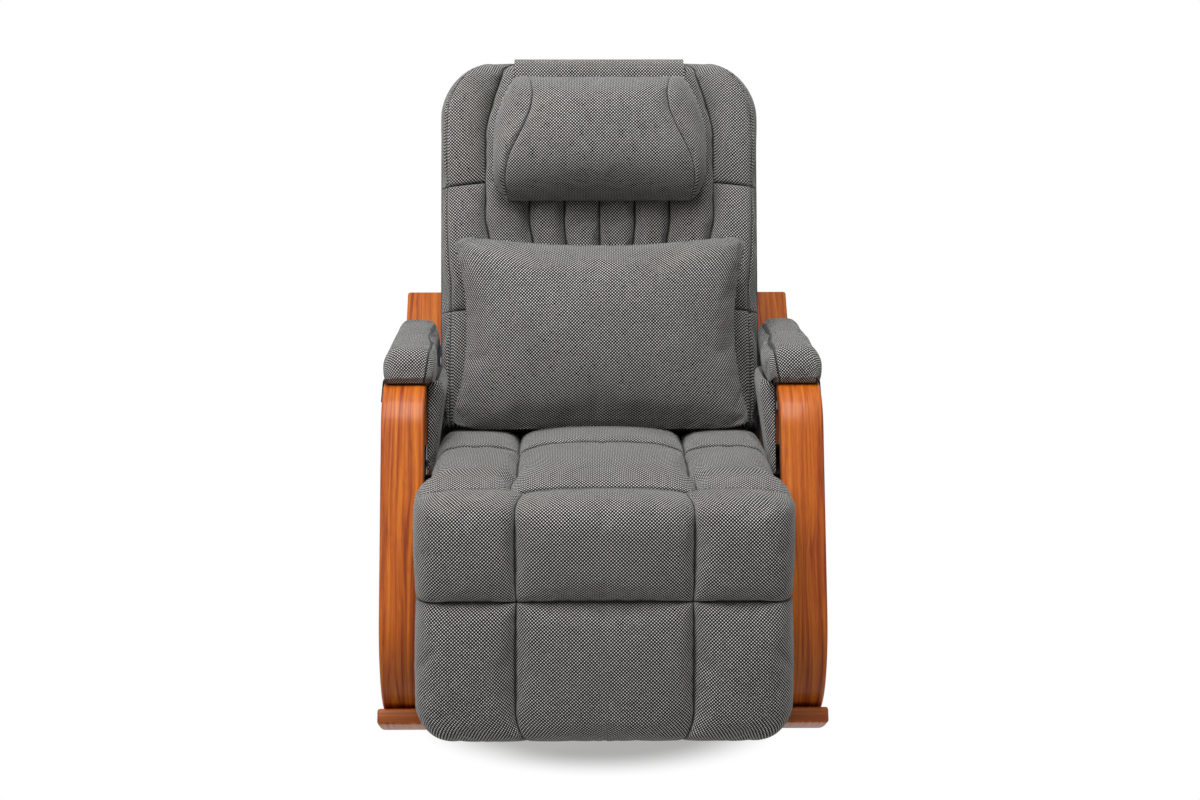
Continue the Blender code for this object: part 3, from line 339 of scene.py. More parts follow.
def begin_material(name, **values):
    """A material and its shader, with the values that are the same all over it."""
    material = bpy.data.materials.new(name)
    material.use_nodes = True
    shader = material.node_tree.nodes["Principled BSDF"]
    for socket, value in values.items():
        shader.inputs[socket.replace("_", " ")].default_value = value
    return material, material.node_tree, shader


def streaks(tree, where, along, across, detail, **more):
    """Noise with so many streaks to the metre along the first of its coordinates, and across it."""
    size = add(tree, "ShaderNodeMapping", {"Vector": where, "Scale": (along, across, across)}).outputs[0]
    return add(tree, "ShaderNodeTexNoise", {"Vector": size, "Scale": 1.0, "Detail": detail, **more})


def multiplied(tree, colour, factor):
    """A colour times a factor."""
    return add(tree, "ShaderNodeMix", {0: 1.0, 6: colour, 7: factor}, data_type="RGBA",
               blend_type="MULTIPLY").outputs[2]


def dress(tree, shader, colour, relief, strength, depth):
    """Give a shader its colour, and the bumps of a relief that is so many metres deep."""
    height = add(tree, "ShaderNodeBump", {"Height": relief, "Strength": strength, "Distance": depth})
    tree.links.new(colour, shader.inputs["Base Color"])
    tree.links.new(height.outputs[0], shader.inputs["Normal"])


def long_grain(name, coordinates, dark_line, mid, pale):
    """Stained wood with its grain along the first of its coordinates, in metres."""
    material, tree, shader = begin_material(name, **LACQUER)
    where = coordinates(tree)
    drift = streaks(tree, where, 2.2, 26.0, 2.0)
    bent = reckon_vector(tree, "MULTIPLY", drift.outputs["Color"], (0.0, GRAIN_DRIFT, GRAIN_DRIFT))
    lines = streaks(tree, reckon_vector(tree, "ADD", where, bent), 1.6, 150.0, 3.0, Roughness=0.6)
    pores = streaks(tree, where, 55.0, 1150.0, 2.0)
    flame = add(tree, "ShaderNodeValToRGB", {"Fac": lines.outputs["Fac"]})
    stops = flame.color_ramp.elements
    stops[0].position = 0.36
    stops[0].color = linear(dark_line)
    stops[1].position = 0.66
    stops[1].color = linear(pale)
    stops.new(0.47).color = linear(mid)
    speck = ranged(tree, pores.outputs["Fac"], 0.34, 0.56, 0.80)
    shade = multiplied(tree, flame.outputs["Color"], speck)
    dress(tree, shader, shade, pores.outputs["Fac"], 0.10, 0.0004)
    return material


def strip_grain(tree):
    return add(tree, "ShaderNodeUVMap", uv_map="grain").outputs[0]


LACQUERED_FACE = long_grain("lacquered_veneer", strip_grain, "#823510", "#a85114", "#c26c1e")

# The strips' edges show the plies in section: thin glue lines between bands of slightly different stain.
LACQUERED_PLIES, tree, shader = begin_material("laminated_edge", **LACQUER)
across = add(tree, "ShaderNodeSeparateXYZ", {0: strip_grain(tree)})
layers = reckon(tree, "MULTIPLY", across.outputs[1], 1 / PLY)
band = add(tree, "ShaderNodeTexWhiteNoise", {"W": reckon(tree, "FLOOR", layers)}, noise_dimensions="1D")
fibre = streaks(tree, strip_grain(tree), 18.0, 900.0, 3.0)
half = reckon(tree, "MULTIPLY", reckon(tree, "ADD", band.outputs["Value"], fibre.outputs["Fac"]), 0.5)
glue = ranged(tree, reckon(tree, "FRACT", layers), 0.0, GLUE_LINE / PLY, 0.62)
dress(tree, shader, multiplied(tree, two_tone(tree, half, "#6f300f", "#b1611f"), glue), glue, 0.15, 0.0003)

arm_corner = Vector((-0.300, ARM_LEVEL))
rear_corner = Vector((0.105, REAR_LEVEL))
front_leg = leg_line(arm_corner, LEG_LEAN, FRONT_FOOT_BEND, FRONT_CURVE, -0.150)
rear_leg = leg_line(rear_corner, -LEG_LEAN, REAR_FOOT_BEND, REAR_CURVE, 0.030)
bow_tail = [(0.305, ARM_LEVEL + 0.076), (0.225, ARM_LEVEL)]
bow_line = with_bends([*bow_tail, arm_corner, front_leg[0]], [TAIL_BEND, ARM_BEND])
rear_line = with_bends([(-0.030, REAR_LEVEL), rear_corner, rear_leg[0]], [ARM_BEND])
rocker_mid = ROCKER_THICK / 2
rocker_line = along_rocker(FRONT_CURVE, rocker_mid, REST_Y - ROCKER_NOSE * (1 - rocker_mid / FRONT_CURVE),
                           REST_Y - FLAT_HALF)
rocker_line += along_rocker(REAR_CURVE, rocker_mid, REST_Y + FLAT_HALF,
                            REST_Y + ROCKER_TAIL * (1 - rocker_mid / REAR_CURVE))
for side, sign in SIDES:
    for name, path, inner, outer, thick in (
            ("arm_bow", bow_line[:-1] + front_leg, STRIP_INNER, STRIP_OUTER, STRIP_THICK),
            ("rear_leg", rear_line[:-1] + rear_leg, STRIP_INNER, STRIP_OUTER, STRIP_THICK),
            ("rocker", rocker_line, ROCKER_INNER, ROCKER_OUTER, ROCKER_THICK)):
        strip = laminated_strip(f"bent_{name}_{side}", path, *sorted((sign * inner, sign * outer)), thick)
        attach(strip, "base")
        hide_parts(f"{name}_{side}")


# Rails and stretchers
# Sawn boards of the same stained wood, dowelled between the strips: a rail under each arm carries the steel
# side plate, and two flat stretchers keep the feet apart.
def along_y(tree):
    place = add(tree, "ShaderNodeTexCoord").outputs["Object"]
    turned = add(tree, "ShaderNodeMapping", {"Vector": place, "Rotation": (0.0, 0.0, radians(-90.0))})
    return turned.outputs[0]


def along_x(tree):
    return add(tree, "ShaderNodeTexCoord").outputs["Object"]


board_stain = ("#6a2b0c", "#9c4d14", "#bb6b20")
stained_rail = long_grain("stained_rail", along_y, *board_stain)
stained_stretcher = long_grain("stained_stretcher", along_x, *board_stain)
for name, finish in (("side_rail_left", stained_rail), ("side_rail_right", stained_rail),
                     ("front_stretcher", stained_stretcher), ("rear_stretcher", stained_stretcher)):
    nodes[name].data.materials.clear()
    nodes[name].data.materials.append(finish)


# Seat cushion
# Foam in a sewn cover: three columns and two rows, the front one rolled over the edge, glued to a plywood
# board. The seams are drawn down to the foam, so each panel swells between them.
SEAT_HALF = 0.266
SEAT_FRONT = -0.4535
SEAT_REAR = -0.1125
SEAT_BASE = 0.4145
SEAT_FOAM = 0.046
SEAT_CROWN = 0.024
SIDE_CROWN = 0.62  # the side columns' share of the crown
ROW_CROWN = 0.28  # the share that is lost at the rows' ends
SEAT_ROW = -0.262
SEAT_SIDE = 0.024  # radii of its edges: sides, front roll and rear
SEAT_ROLL = 0.125
SEAT_HEEL = 0.020
ROLL_LINES = 0.042  # the grid is finer over this much of the roll
SEAT_FALL = 0.11  # how steeply the front row falls towards the knees
SEAT_DRAW = 0.006  # its sides are drawn in this far where the rows are sewn
SEAT_FLARE = 0.018  # the front roll spreads this much before the legs, from and over these depths
FLARE_START = -0.367
FLARE_LONG = 0.032
FOLD_SHADE = -0.426  # from here down the roll gets painted shade from the fold, this far to each side
FOLD_SHADE_HALF = 0.24
COLUMN = 0.130
GRID_PITCH = 0.006
RIM_LINES = 7  # grid lines round each rim
TUCK = 0.0022  # half the width of a seam's fold, and how many of these away its outer lines lie
TUCK_OUT = 2.4
FOLD_DEEP = 0.007
HALF_DARK = 0.66  # the mark for about half of the painted shade at a seam


def lines_over(low, high, rims, seams, pitch=GRID_PITCH, tuck=TUCK):
    """Positions over a cover: round each rim, on and close beside each seam, and a pitch apart elsewhere."""
    must = set()
    for step in range(RIM_LINES + 1):
        bend = 1 - cos(pi * step / (2 * RIM_LINES))
        must |= {low + rims[0] * bend, high - rims[1] * bend}
    for seam in seams:
        must |= {seam + tuck * share for share in (-TUCK_OUT, -1.0, 0.0, 1.0, TUCK_OUT)}
    must = sorted(must)
    lines = must[:1]
    for first, second in zip(must, must[1:]):
        count = ceil((second - first) / pitch)
        lines += [first + (second - first) * step / count for step in range(1, count + 1)]
    return lines


def swell(place, seams, power=2.6, roundness=0.56):
    """0 on each seam and 1 in the middle of the panel between two of them."""
    for low, high in zip(seams, seams[1:]):
        if place <= high:
            offset = min(abs(2 * place - low - high) / (high - low), 1.0)
            return (1 - offset ** power) ** roundness
    return 0.0


def pinched(place, seams, deep=FOLD_DEEP):
    """How far a seam's narrow fold sinks at a place."""
    nearest = min(abs(place - seam) for seam in seams)
    return deep * max(0.0, 1 - nearest / (TUCK * 1.01))


def eased(distance, radius):
    """0 at a rim, 1 from a radius inside it on, with a round edge between."""
    share = min(max(distance / radius, 0.0), 1.0)
    return sqrt(1 - (1 - share) ** 2)


def drawn_in(past, radius):
    """How far an outline is drawn in round a corner, so far past the corner's start."""
    reach = min(max(past, 0.0), radius)
    return radius - sqrt(radius ** 2 - reach ** 2)


def sewn_cover(name, across, along, shape, finish, straight=False, sign=1):
    """A cover over a grid of lines, put in place by shape, with its flat pattern kept for the weave.

    A straight pattern keeps the threads in line with the grid, spaced as they are along its middle lines.
    A sign of -1 puts a piece of the right side on the left.
    """
    columns = len(across) - 1
    rows = len(along) - 1
    bpy.ops.object.select_all(action="DESELECT")
    bpy.ops.mesh.primitive_grid_add(x_subdivisions=columns, y_subdivisions=rows, size=2.0)
    cover = bpy.context.object
    cover.name = name
    mesh = cover.data
    spots = [[Vector(shape(u, v)) * Vector((sign, 1, 1)) for u in across] for v in along]
    flat = [[[0.0, 0.0] for u in across] for v in along]
    for j, line in enumerate(spots):
        reach = reaches(line)
        for i in range(columns + 1):
            flat[j][i][0] = reach[i] - reach[columns // 2]
    for i in range(columns + 1):
        reach = reaches([line[i] for line in spots])
        for j in range(rows + 1):
            flat[j][i][1] = reach[j] - reach[rows // 2]
    if straight:
        middle = flat[rows // 2]
        flat = [[(middle[i][0], line[columns // 2][1]) for i in range(columns + 1)] for line in flat]
    places = []
    for vertex in mesh.vertices:
        places.append((round((vertex.co.x + 1) / 2 * columns), round((vertex.co.y + 1) / 2 * rows)))
    for vertex, (i, j) in zip(mesh.vertices, places):
        vertex.co = spots[j][i]
    pattern = mesh.uv_layers[0]
    pattern.name = "cloth"
    for loop, corner in zip(mesh.loops, pattern.data):
        i, j = places[loop.vertex_index]
        corner.uv = flat[j][i]
    mesh.materials.append(finish)
    mesh.shade_smooth()
    return cover, places


def held_at(places, columns, rows, across, along):
    """The points of a cover that are sewn down: its rims, and the lines where its seams lie."""
    def sewn_lines(lines, seams):
        on_seams = {i for i, line in enumerate(lines) if any(abs(line - seam) < 1e-6 for seam in seams)}
        return on_seams | {0, len(lines) - 1}

    sewn_columns = sewn_lines(across, columns)
    sewn_rows = sewn_lines(along, rows)
    return [number for number, (i, j) in enumerate(places) if i in sewn_columns or j in sewn_rows]


def stuffed(cover, held, pressure=4.0, slack=0.02, most=0.006, frames=18, painted_seam_shade=None, shaded=()):
    """Fill a sewn cover by cloth simulation: pressed from inside, held at its seams, its swell limited.

    The points given for painted seam shade (the held ones, if none are given) are marked for the weave to be
    painted dark there, as the shade in the seams' folds, and the shaded ones for it to be about half as dark.
    """
    mark = cover.data.attributes.new("painted_seam_shade", "FLOAT", "POINT")
    for number in shaded:
        mark.data[number].value = HALF_DARK
    for number in (held if painted_seam_shade is None else painted_seam_shade):
        mark.data[number].value = 1.0
    start = [vertex.co.copy() for vertex in cover.data.vertices]
    group = cover.vertex_groups.new(name="held")
    group.add(held, 1.0, "REPLACE")
    filling = cover.modifiers.new("filling", "CLOTH")
    cloth = filling.settings
    cloth.quality = 6
    cloth.mass = 0.25
    cloth.tension_stiffness = 14.0
    cloth.compression_stiffness = 9.0
    cloth.shear_stiffness = 6.0
    cloth.bending_stiffness = 0.35
    cloth.shrink_min = -slack
    cloth.use_pressure = True
    cloth.uniform_pressure_force = pressure
    cloth.vertex_group_mass = "held"
    cloth.effector_weights.gravity = 0.0
    filling.collision_settings.use_collision = False
    filling.point_cache.frame_start = 1
    filling.point_cache.frame_end = frames
    for number in range(1, frames + 1):
        scene.frame_set(number)
    swollen = cover.evaluated_get(bpy.context.evaluated_depsgraph_get()).data
    ends = [vertex.co.copy() for vertex in swollen.vertices]
    cover.modifiers.remove(filling)
    cover.vertex_groups.remove(group)
    for vertex, first, last in zip(cover.data.vertices, start, ends):
        move = last - first
        vertex.co = first + move * (most / max(most, move.length))
    scene.frame_set(1)
    apply_modifier(cover, "SUBSURF", levels=1, render_levels=1)
    bpy.ops.object.mode_set(mode="EDIT")
    bpy.ops.mesh.select_all(action="DESELECT")
    bpy.ops.mesh.select_non_manifold()
    bpy.ops.mesh.edge_face_add()
    bpy.ops.object.mode_set(mode="OBJECT")
    on_whole_mesh(cover, bpy.ops.mesh.normals_make_consistent, inside=False)


# Polyester basket weave in two yarns, charcoal and light grey, that make a fine diagonal check. The threads
# repeat every 4.4 mm, and are drawn at 5 mm so that the check shows in the render. Fibres blur its edges.
THREAD_REPEAT = 0.0050
FUZZ_SCALE = 520.0  # tufts of fibre to the metre, and how far they stand off the threads
FUZZ_REACH = 0.0004
WORN_SCALE = 14.0  # worn patches to the metre


def thread_check(tree, flat, repeat):
    """Two crossing sets of threads, as a check from -1 to 1 that repeats over a length in metres."""
    threads = add(tree, "ShaderNodeVectorMath", {0: flat, 3: 2 * pi / repeat}, operation="SCALE")
    apart = add(tree, "ShaderNodeSeparateXYZ", {0: threads.outputs[0]}).outputs
    return reckon(tree, "MULTIPLY", reckon(tree, "SINE", apart[0]), reckon(tree, "SINE", apart[1]))


WEAVE, tree, shader = begin_material("charcoal_basket_weave", Roughness=0.92, IOR=1.45, Sheen_Weight=0.22,
                                     Sheen_Roughness=0.45, Specular_IOR_Level=0.2)
flat = add(tree, "ShaderNodeUVMap", uv_map="cloth").outputs[0]
fuzz = add(tree, "ShaderNodeTexNoise", {"Vector": flat, "Scale": FUZZ_SCALE, "Detail": 2.0})
shift = reckon_vector(tree, "MULTIPLY", fuzz.outputs["Color"], (FUZZ_REACH, FUZZ_REACH, 0.0))
check = thread_check(tree, reckon_vector(tree, "ADD", flat, shift), THREAD_REPEAT)
yarn = ranged(tree, check, 0.18, 0.62, kind="SMOOTHSTEP")
patch = add(tree, "ShaderNodeTexNoise", {"Vector": flat, "Scale": WORN_SCALE, "Detail": 3.0})
worn = ranged(tree, patch.outputs["Fac"], 0.3, 0.7, 0.93, 1.07)
# Painted shade: a point mark darkens the weave to 0.12 of its colour on seams and creases, and by about half
# beside them, for the shade in the folds.
painted_seam_shade = add(tree, "ShaderNodeAttribute", attribute_name="painted_seam_shade").outputs["Fac"]
seam = ranged(tree, painted_seam_shade, 0.25, 0.95, 1.0, 0.12, kind="SMOOTHSTEP")
shade = multiplied(tree, two_tone(tree, yarn, "#101010", "#cccbc7"), worn)
dress(tree, shader, multiplied(tree, shade, seam), yarn, 0.55, 0.0007)

seat_columns = [-SEAT_HALF, -COLUMN, COLUMN, SEAT_HALF]
seat_rows = [SEAT_FRONT, SEAT_ROW, SEAT_REAR]


def seat_top(x, y):
    row = swell(y, seat_rows)
    puff = swell(x, seat_columns) * (1 - ROW_CROWN * (1 - row)) * (1.0 if abs(x) < COLUMN else SIDE_CROWN)
    edge = eased(SEAT_HALF - abs(x), SEAT_SIDE) * eased(y - SEAT_FRONT, SEAT_ROLL)
    edge *= eased(SEAT_REAR - y, SEAT_HEEL)
    flare = min(max((FLARE_START - y) / FLARE_LONG, 0.0), 1.0)
    draw = 1 + (SEAT_FLARE * flare ** 2 * (3 - 2 * flare) - SEAT_DRAW * (1 - row)) / SEAT_HALF
    sink = max(pinched(x, (-COLUMN, COLUMN)), pinched(y, (SEAT_ROW,)))
    fall = SEAT_FALL * max(SEAT_ROW - y, 0.0)
    return x * draw, y, SEAT_BASE + (SEAT_FOAM + SEAT_CROWN * puff - sink - fall) * edge


across = lines_over(-SEAT_HALF, SEAT_HALF, (SEAT_SIDE, SEAT_SIDE), (-COLUMN, COLUMN))
along = lines_over(SEAT_FRONT, SEAT_REAR, (ROLL_LINES, SEAT_HEEL), (SEAT_ROW,))
seat, places = sewn_cover("seat_cover", across, along, seat_top, WEAVE, straight=True)
sewn = held_at(places, (-COLUMN, COLUMN), (SEAT_ROW,), across, along)
# Painted shade: the seam lines are marked fully dark, the lines beside the row seam and the roll under the fold
# half dark.
beside = held_at(places, (), (SEAT_ROW - TUCK, SEAT_ROW + TUCK, SEAT_ROW + TUCK_OUT * TUCK), across, along)
roll_in_painted_shade = [number for number, (i, j) in enumerate(places)
             if along[j] < FOLD_SHADE and abs(across[i]) < FOLD_SHADE_HALF]
stuffed(seat, sewn, most=0.004, shaded=beside + roll_in_painted_shade)
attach(seat, "base")
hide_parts("seat_cushion")

# Legrest
# A foam pad in the same cover on a plywood board, hung from a steel axle under the seat's front edge. Its top
# rolls back towards the fold, its lower corners are round, and its sides draw in where the rows are sewn.
LEG_HALF = 0.279
LEG_TOP = 0.458
LEG_BOTTOM = 0.080
LEG_ROW = 0.298
LEG_BASE = -0.4917
LEG_FOAM = 0.045
LEG_CROWN = 0.017
LEG_CORNER = 0.058  # radii of its outline's corners, below and above
LEG_SHOULDER = 0.020
LEG_SIDE = 0.026  # radii of its edges: sides, foot and top
LEG_TOE = 0.022
LEG_HEAD = 0.030
LEG_DRAW = 0.005
TOP_SAG = 0.011  # its top sags this much at the columns' seams, fading out over this height
TOP_SAG_HIGH = 0.080
TOP_SIDE = 0.200  # from here on out it falls by this share of the sag
SIDE_SAG = 0.6
leg_columns = [-LEG_HALF, -COLUMN, COLUMN, LEG_HALF]
leg_rows = [LEG_BOTTOM, LEG_ROW, LEG_TOP]


def legrest_front(x, z):
    row = swell(z, leg_rows)
    column = swell(x, leg_columns)
    edge = eased(LEG_HALF - abs(x), LEG_SIDE) * eased(z - LEG_BOTTOM, LEG_TOE) * eased(LEG_TOP - z, LEG_HEAD)
    half = LEG_HALF - LEG_DRAW * (1 - row) - drawn_in(LEG_BOTTOM + LEG_CORNER - z, LEG_CORNER)
    half -= drawn_in(z - LEG_TOP + LEG_SHOULDER, LEG_SHOULDER)
    low = 1 - column
    if abs(x) >= TOP_SIDE:
        low = SIDE_SAG * ((abs(x) - TOP_SIDE) / (LEG_HALF - TOP_SIDE)) ** 2
    drop = TOP_SAG * low * max(0.0, 1 - (LEG_TOP - z) / TOP_SAG_HIGH)
    sink = max(pinched(x, (-COLUMN, COLUMN)), pinched(z, (LEG_ROW,)))
    depth = (LEG_FOAM + LEG_CROWN * column * row - sink) * edge
    return x * half / LEG_HALF, LEG_BASE - depth, z - drop


across = lines_over(-LEG_HALF, LEG_HALF, (LEG_SIDE, LEG_SIDE), (-COLUMN, COLUMN))
along = lines_over(LEG_BOTTOM, LEG_TOP, (LEG_TOE, LEG_HEAD), (LEG_ROW,))
legrest, places = sewn_cover("legrest_cover", across, along, legrest_front, WEAVE, straight=True)
stuffed(legrest, held_at(places, (-COLUMN, COLUMN), (LEG_ROW,), across, along))
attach(legrest, "legrest")
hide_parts("legrest_cushion")

# Fold
# The seat's cover runs on into the legrest's as one strip of cloth that passes over the axle and hides it. It
# is sewn to both, under the seat's roll and along the legrest's top; here it is shaped for the legrest at rest.
FOLD_HALF = 0.258
FOLD_HEM = 0.01
FOLD_ROWS = 10
FOLD_REAR = -0.432
FOLD_FRONT = -0.4935
FOLD_UNDER = 0.0015  # how far it lies below the seat's roll, and below the legrest's rim
FOLD_CREASE = 0.007
AXLE_CLEAR = 0.4455  # the lowest that it can lie over the axle
CLOTH_THICK = 0.0016


def fold_sheet(x, share):
    rear = seat_top(x, FOLD_REAR)[2] - FOLD_UNDER
    front = max(legrest_front(x, LEG_TOP)[2] - FOLD_CREASE, AXLE_CLEAR)
    return x, FOLD_REAR + (FOLD_FRONT - FOLD_REAR) * share, rear + (front - rear) * sin(pi / 2 * share)


across = lines_over(-FOLD_HALF, FOLD_HALF, (FOLD_HEM, FOLD_HEM), (-COLUMN, COLUMN))
along = [step / FOLD_ROWS for step in range(FOLD_ROWS + 1)]
fold, places = sewn_cover("fold_strip", across, along, fold_sheet, WEAVE)
# Painted shade: the strip's last row, tucked under the legrest's rim, is marked fully dark.
mark = fold.data.attributes.new("painted_seam_shade", "FLOAT", "POINT")
for number, (column, row) in enumerate(places):
    mark.data[number].value = 1.0 if row == FOLD_ROWS else 0.0
apply_modifier(fold, "SOLIDIFY", thickness=CLOTH_THICK, offset=0.0)
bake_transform(fold)


# Back pad
# The front of the reclining back: foam channels down the middle, and a bolster outside each bowed seam that
# is sewn across in two places. It is stapled to the shell along its rim.
PIVOT_Y = -0.060
PIVOT_Z = 0.405
LEAN = radians(14.0)
BACK_HALF = 0.2625
BACK_FOOT = 0.050
BACK_TOP = 0.662
BACK_CORNER = 0.088
PAD_REAR = -0.020
PAD_FOAM = 0.028
PAD_CROWN = 0.013
PAD_INSET = 0.003  # how far its edge lies inside the shell's
PAD_SIDE = 0.020  # radii of its edges: sides, foot and top
PAD_TOE = 0.016
PAD_HEAD = 0.026
SIDE_LINES = 0.076  # the grid is finer over this share at the sides
PAD_PITCH = 0.0075
BOLSTER_SHARE = 0.72  # shares of the half width at which the seams lie
CHANNEL_SHARE = 0.2201
EDGE_SHARE = 0.955
BOWED_OUT = 0.193  # the bowed seam lies this far out at this height, and nearer in for this reach
BOWED_HIGH = 0.470
BOWED_REACH = 0.170
BOWED_IN = 1.2
BOLSTER_SLANT = 0.010  # how far a cross seam falls from the bowed seam to the edge
bolster_rows = [BACK_FOOT, 0.255, 0.460, BACK_TOP]
cross_seams = bolster_rows[1:3]
pad_seams = [-1.0, -BOLSTER_SHARE, *(CHANNEL_SHARE * number for number in range(-2, 3)), BOLSTER_SHARE, 1.0]
folded_seams = [-EDGE_SHARE, *pad_seams[1:-1], EDGE_SHARE]


def on_back(x, y, z):
    """A point given along the leaning back, from its pivot."""
    return x, PIVOT_Y + y * cos(LEAN) + z * sin(LEAN), PIVOT_Z - y * sin(LEAN) + z * cos(LEAN)


def back_half(z):
    """Half the back's width at a height, drawn in round its top corners."""
    return BACK_HALF - drawn_in(z - BACK_TOP + BACK_CORNER, BACK_CORNER)


def pad_front(share, z):
    half = back_half(z) - PAD_INSET
    bowed = BOWED_OUT - BOWED_IN * min(abs(z - BOWED_HIGH), BOWED_REACH) ** 2
    seam = min(bowed, half * BOLSTER_SHARE)
    puff = 0.5 * swell(share, pad_seams)
    sink = pinched(share * BACK_HALF, [place * BACK_HALF for place in folded_seams])
    if abs(share) <= BOLSTER_SHARE:
        x = seam * share / BOLSTER_SHARE
    else:
        x = copysign(seam + (half - seam) * (abs(share) - BOLSTER_SHARE) / (1 - BOLSTER_SHARE), share)
        puff *= 0.6 + 1.4 * swell(z, bolster_rows)
        sink = max(sink, pinched(z, cross_seams))
    edge = eased((1 - abs(share)) * half, PAD_SIDE) * eased(z - BACK_FOOT, PAD_TOE)
    edge *= eased(BACK_TOP - z, PAD_HEAD)
    slant = max(abs(share) - BOLSTER_SHARE, 0.0) / (1 - BOLSTER_SHARE)
    slant *= swell(z, (BACK_FOOT, BACK_TOP), 2.0, 1.0)
    return on_back(x, PAD_REAR - (PAD_FOAM + PAD_CROWN * puff - sink) * edge, z - BOLSTER_SLANT * slant)


across = lines_over(-1.0, 1.0, (SIDE_LINES, SIDE_LINES), folded_seams, pitch=0.024, tuck=TUCK / BACK_HALF)
along = lines_over(BACK_FOOT, BACK_TOP, (PAD_TOE, PAD_HEAD), cross_seams, pitch=PAD_PITCH)
pad, places = sewn_cover("back_pad_cover", across, along, pad_front, WEAVE)
sewn = held_at(places, pad_seams, (), across, along)
sewn_across = held_at(places, (-EDGE_SHARE, EDGE_SHARE), cross_seams, across, along)
sewn_across = [number for number in sewn_across if abs(across[places[number][0]]) > BOLSTER_SHARE]
# Painted shade along its seams and the bolsters' cross seams.
stuffed(pad, sewn, most=0.004, painted_seam_shade=sewn + sewn_across)
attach(pad, "back")
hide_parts("back_cushion")

# Back shell
# The padded rear of the back, a hollow tub round the steel uprights and the massage drive. A seam runs round
# its rear panel, and its front rim meets the pad's edge seam.
SHELL_DEEP = 0.104
SHELL_WALL = 0.008
SHELL_ROUND = 0.050
SHELL_TOE = 0.020
REAR_SEAM_IN = 0.062  # from the shell's edge to the rear panel's seam
REAR_SEAM_DEEP = 0.003
REAR_SEAM_HIGH = BACK_TOP - REAR_SEAM_IN
rear_seam = 1 - REAR_SEAM_IN / BACK_HALF


def shell_rear(share, z):
    half = back_half(z)
    edge = eased((1 - abs(share)) * half, SHELL_ROUND) * eased(z - BACK_FOOT, SHELL_TOE)
    edge *= eased(BACK_TOP - z, SHELL_ROUND)
    sink = 0.0
    if abs(share) <= rear_seam + 0.001 and z <= REAR_SEAM_HIGH + 0.001:
        sink = max(pinched(abs(share) * BACK_HALF, (rear_seam * BACK_HALF,), REAR_SEAM_DEEP),
                   pinched(z, (REAR_SEAM_HIGH,), REAR_SEAM_DEEP))
    return on_back(half * share, PAD_REAR + CLEAR + (SHELL_DEEP - sink) * edge, z)


across = lines_over(-1.0, 1.0, (SHELL_ROUND / BACK_HALF,) * 2, (-rear_seam, rear_seam), pitch=0.03,
                    tuck=TUCK / BACK_HALF)
along = lines_over(BACK_FOOT, BACK_TOP, (SHELL_TOE, SHELL_ROUND), (REAR_SEAM_HIGH,), pitch=0.010)
shell, places = sewn_cover("back_shell_cover", across, along, shell_rear, WEAVE, straight=True)
on_whole_mesh(shell, bpy.ops.mesh.flip_normals)
apply_modifier(shell, "SOLIDIFY", thickness=SHELL_WALL, offset=-1.0)
apply_modifier(shell, "SUBSURF", levels=1, render_levels=1)
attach(shell, "back")
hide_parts("back_shell")

# Head pillow and its strap
# A stuffed roll with a curved gusset at each end, held by a wide flap of the same cloth that passes over the
# top of the back and down its rear.
STRAP_HALF = 0.139
STRAP_THICK = 0.0032
STRAP_UP = 0.0022  # its middle above the shell it is laid over
STRAP_FRONT = -0.0631
STRAP_START = 0.602
STRAP_END = 0.572
STRAP_BEND = 0.022
HEM = 0.004
PILLOW_HALF = 0.1735
PILLOW_FOOT = 0.427
PILLOW_HIGH = 0.204
PILLOW_DEEP = 0.080
PILLOW_REAR = -0.0652
PILLOW_WIDEST = -0.43  # where it is widest, from -1 at its foot to 1 at its top
PILLOW_TOP_IN = 0.20  # how much narrower its ends are at the top and at the foot
PILLOW_FOOT_IN = 0.14
GUSSET = 0.75
GUSSET_MID = 0.755  # share of the half width where its seam lies, and how far that swings
GUSSET_SWING = 0.125
strap_top = BACK_TOP + STRAP_UP
strap_front = [(STRAP_FRONT, STRAP_START), (STRAP_FRONT, strap_top), (PAD_REAR, strap_top)]
strap_line = with_bends(strap_front, [STRAP_BEND])
for turn in range(6, 91, 6):
    rear = PAD_REAR + (SHELL_DEEP + STRAP_UP) * sin(radians(turn))
    strap_line.append(Vector((rear, BACK_TOP - SHELL_ROUND + (SHELL_ROUND + STRAP_UP) * cos(radians(turn)))))
strap_line.append(Vector((PAD_REAR + SHELL_DEEP + STRAP_UP, STRAP_END)))
strap_reach = reaches(strap_line)


def strap_at(x, reach):
    number = max(i for i, length in enumerate(strap_reach[:-1]) if length <= reach + 1e-9)
    share = (reach - strap_reach[number]) / (strap_reach[number + 1] - strap_reach[number])
    spot = strap_line[number].lerp(strap_line[number + 1], share)
    return on_back(x, spot.x, spot.y)


across = lines_over(-STRAP_HALF, STRAP_HALF, (HEM, HEM), ())
along = lines_over(0.0, strap_reach[-1], (HEM, HEM), ())
strap, places = sewn_cover("headrest_flap", across, along, strap_at, WEAVE)
apply_modifier(strap, "SOLIDIFY", thickness=STRAP_THICK, offset=0.0)
apply_modifier(strap, "BEVEL", width=0.0012, segments=2)
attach(strap, "back")
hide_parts("headrest_strap")


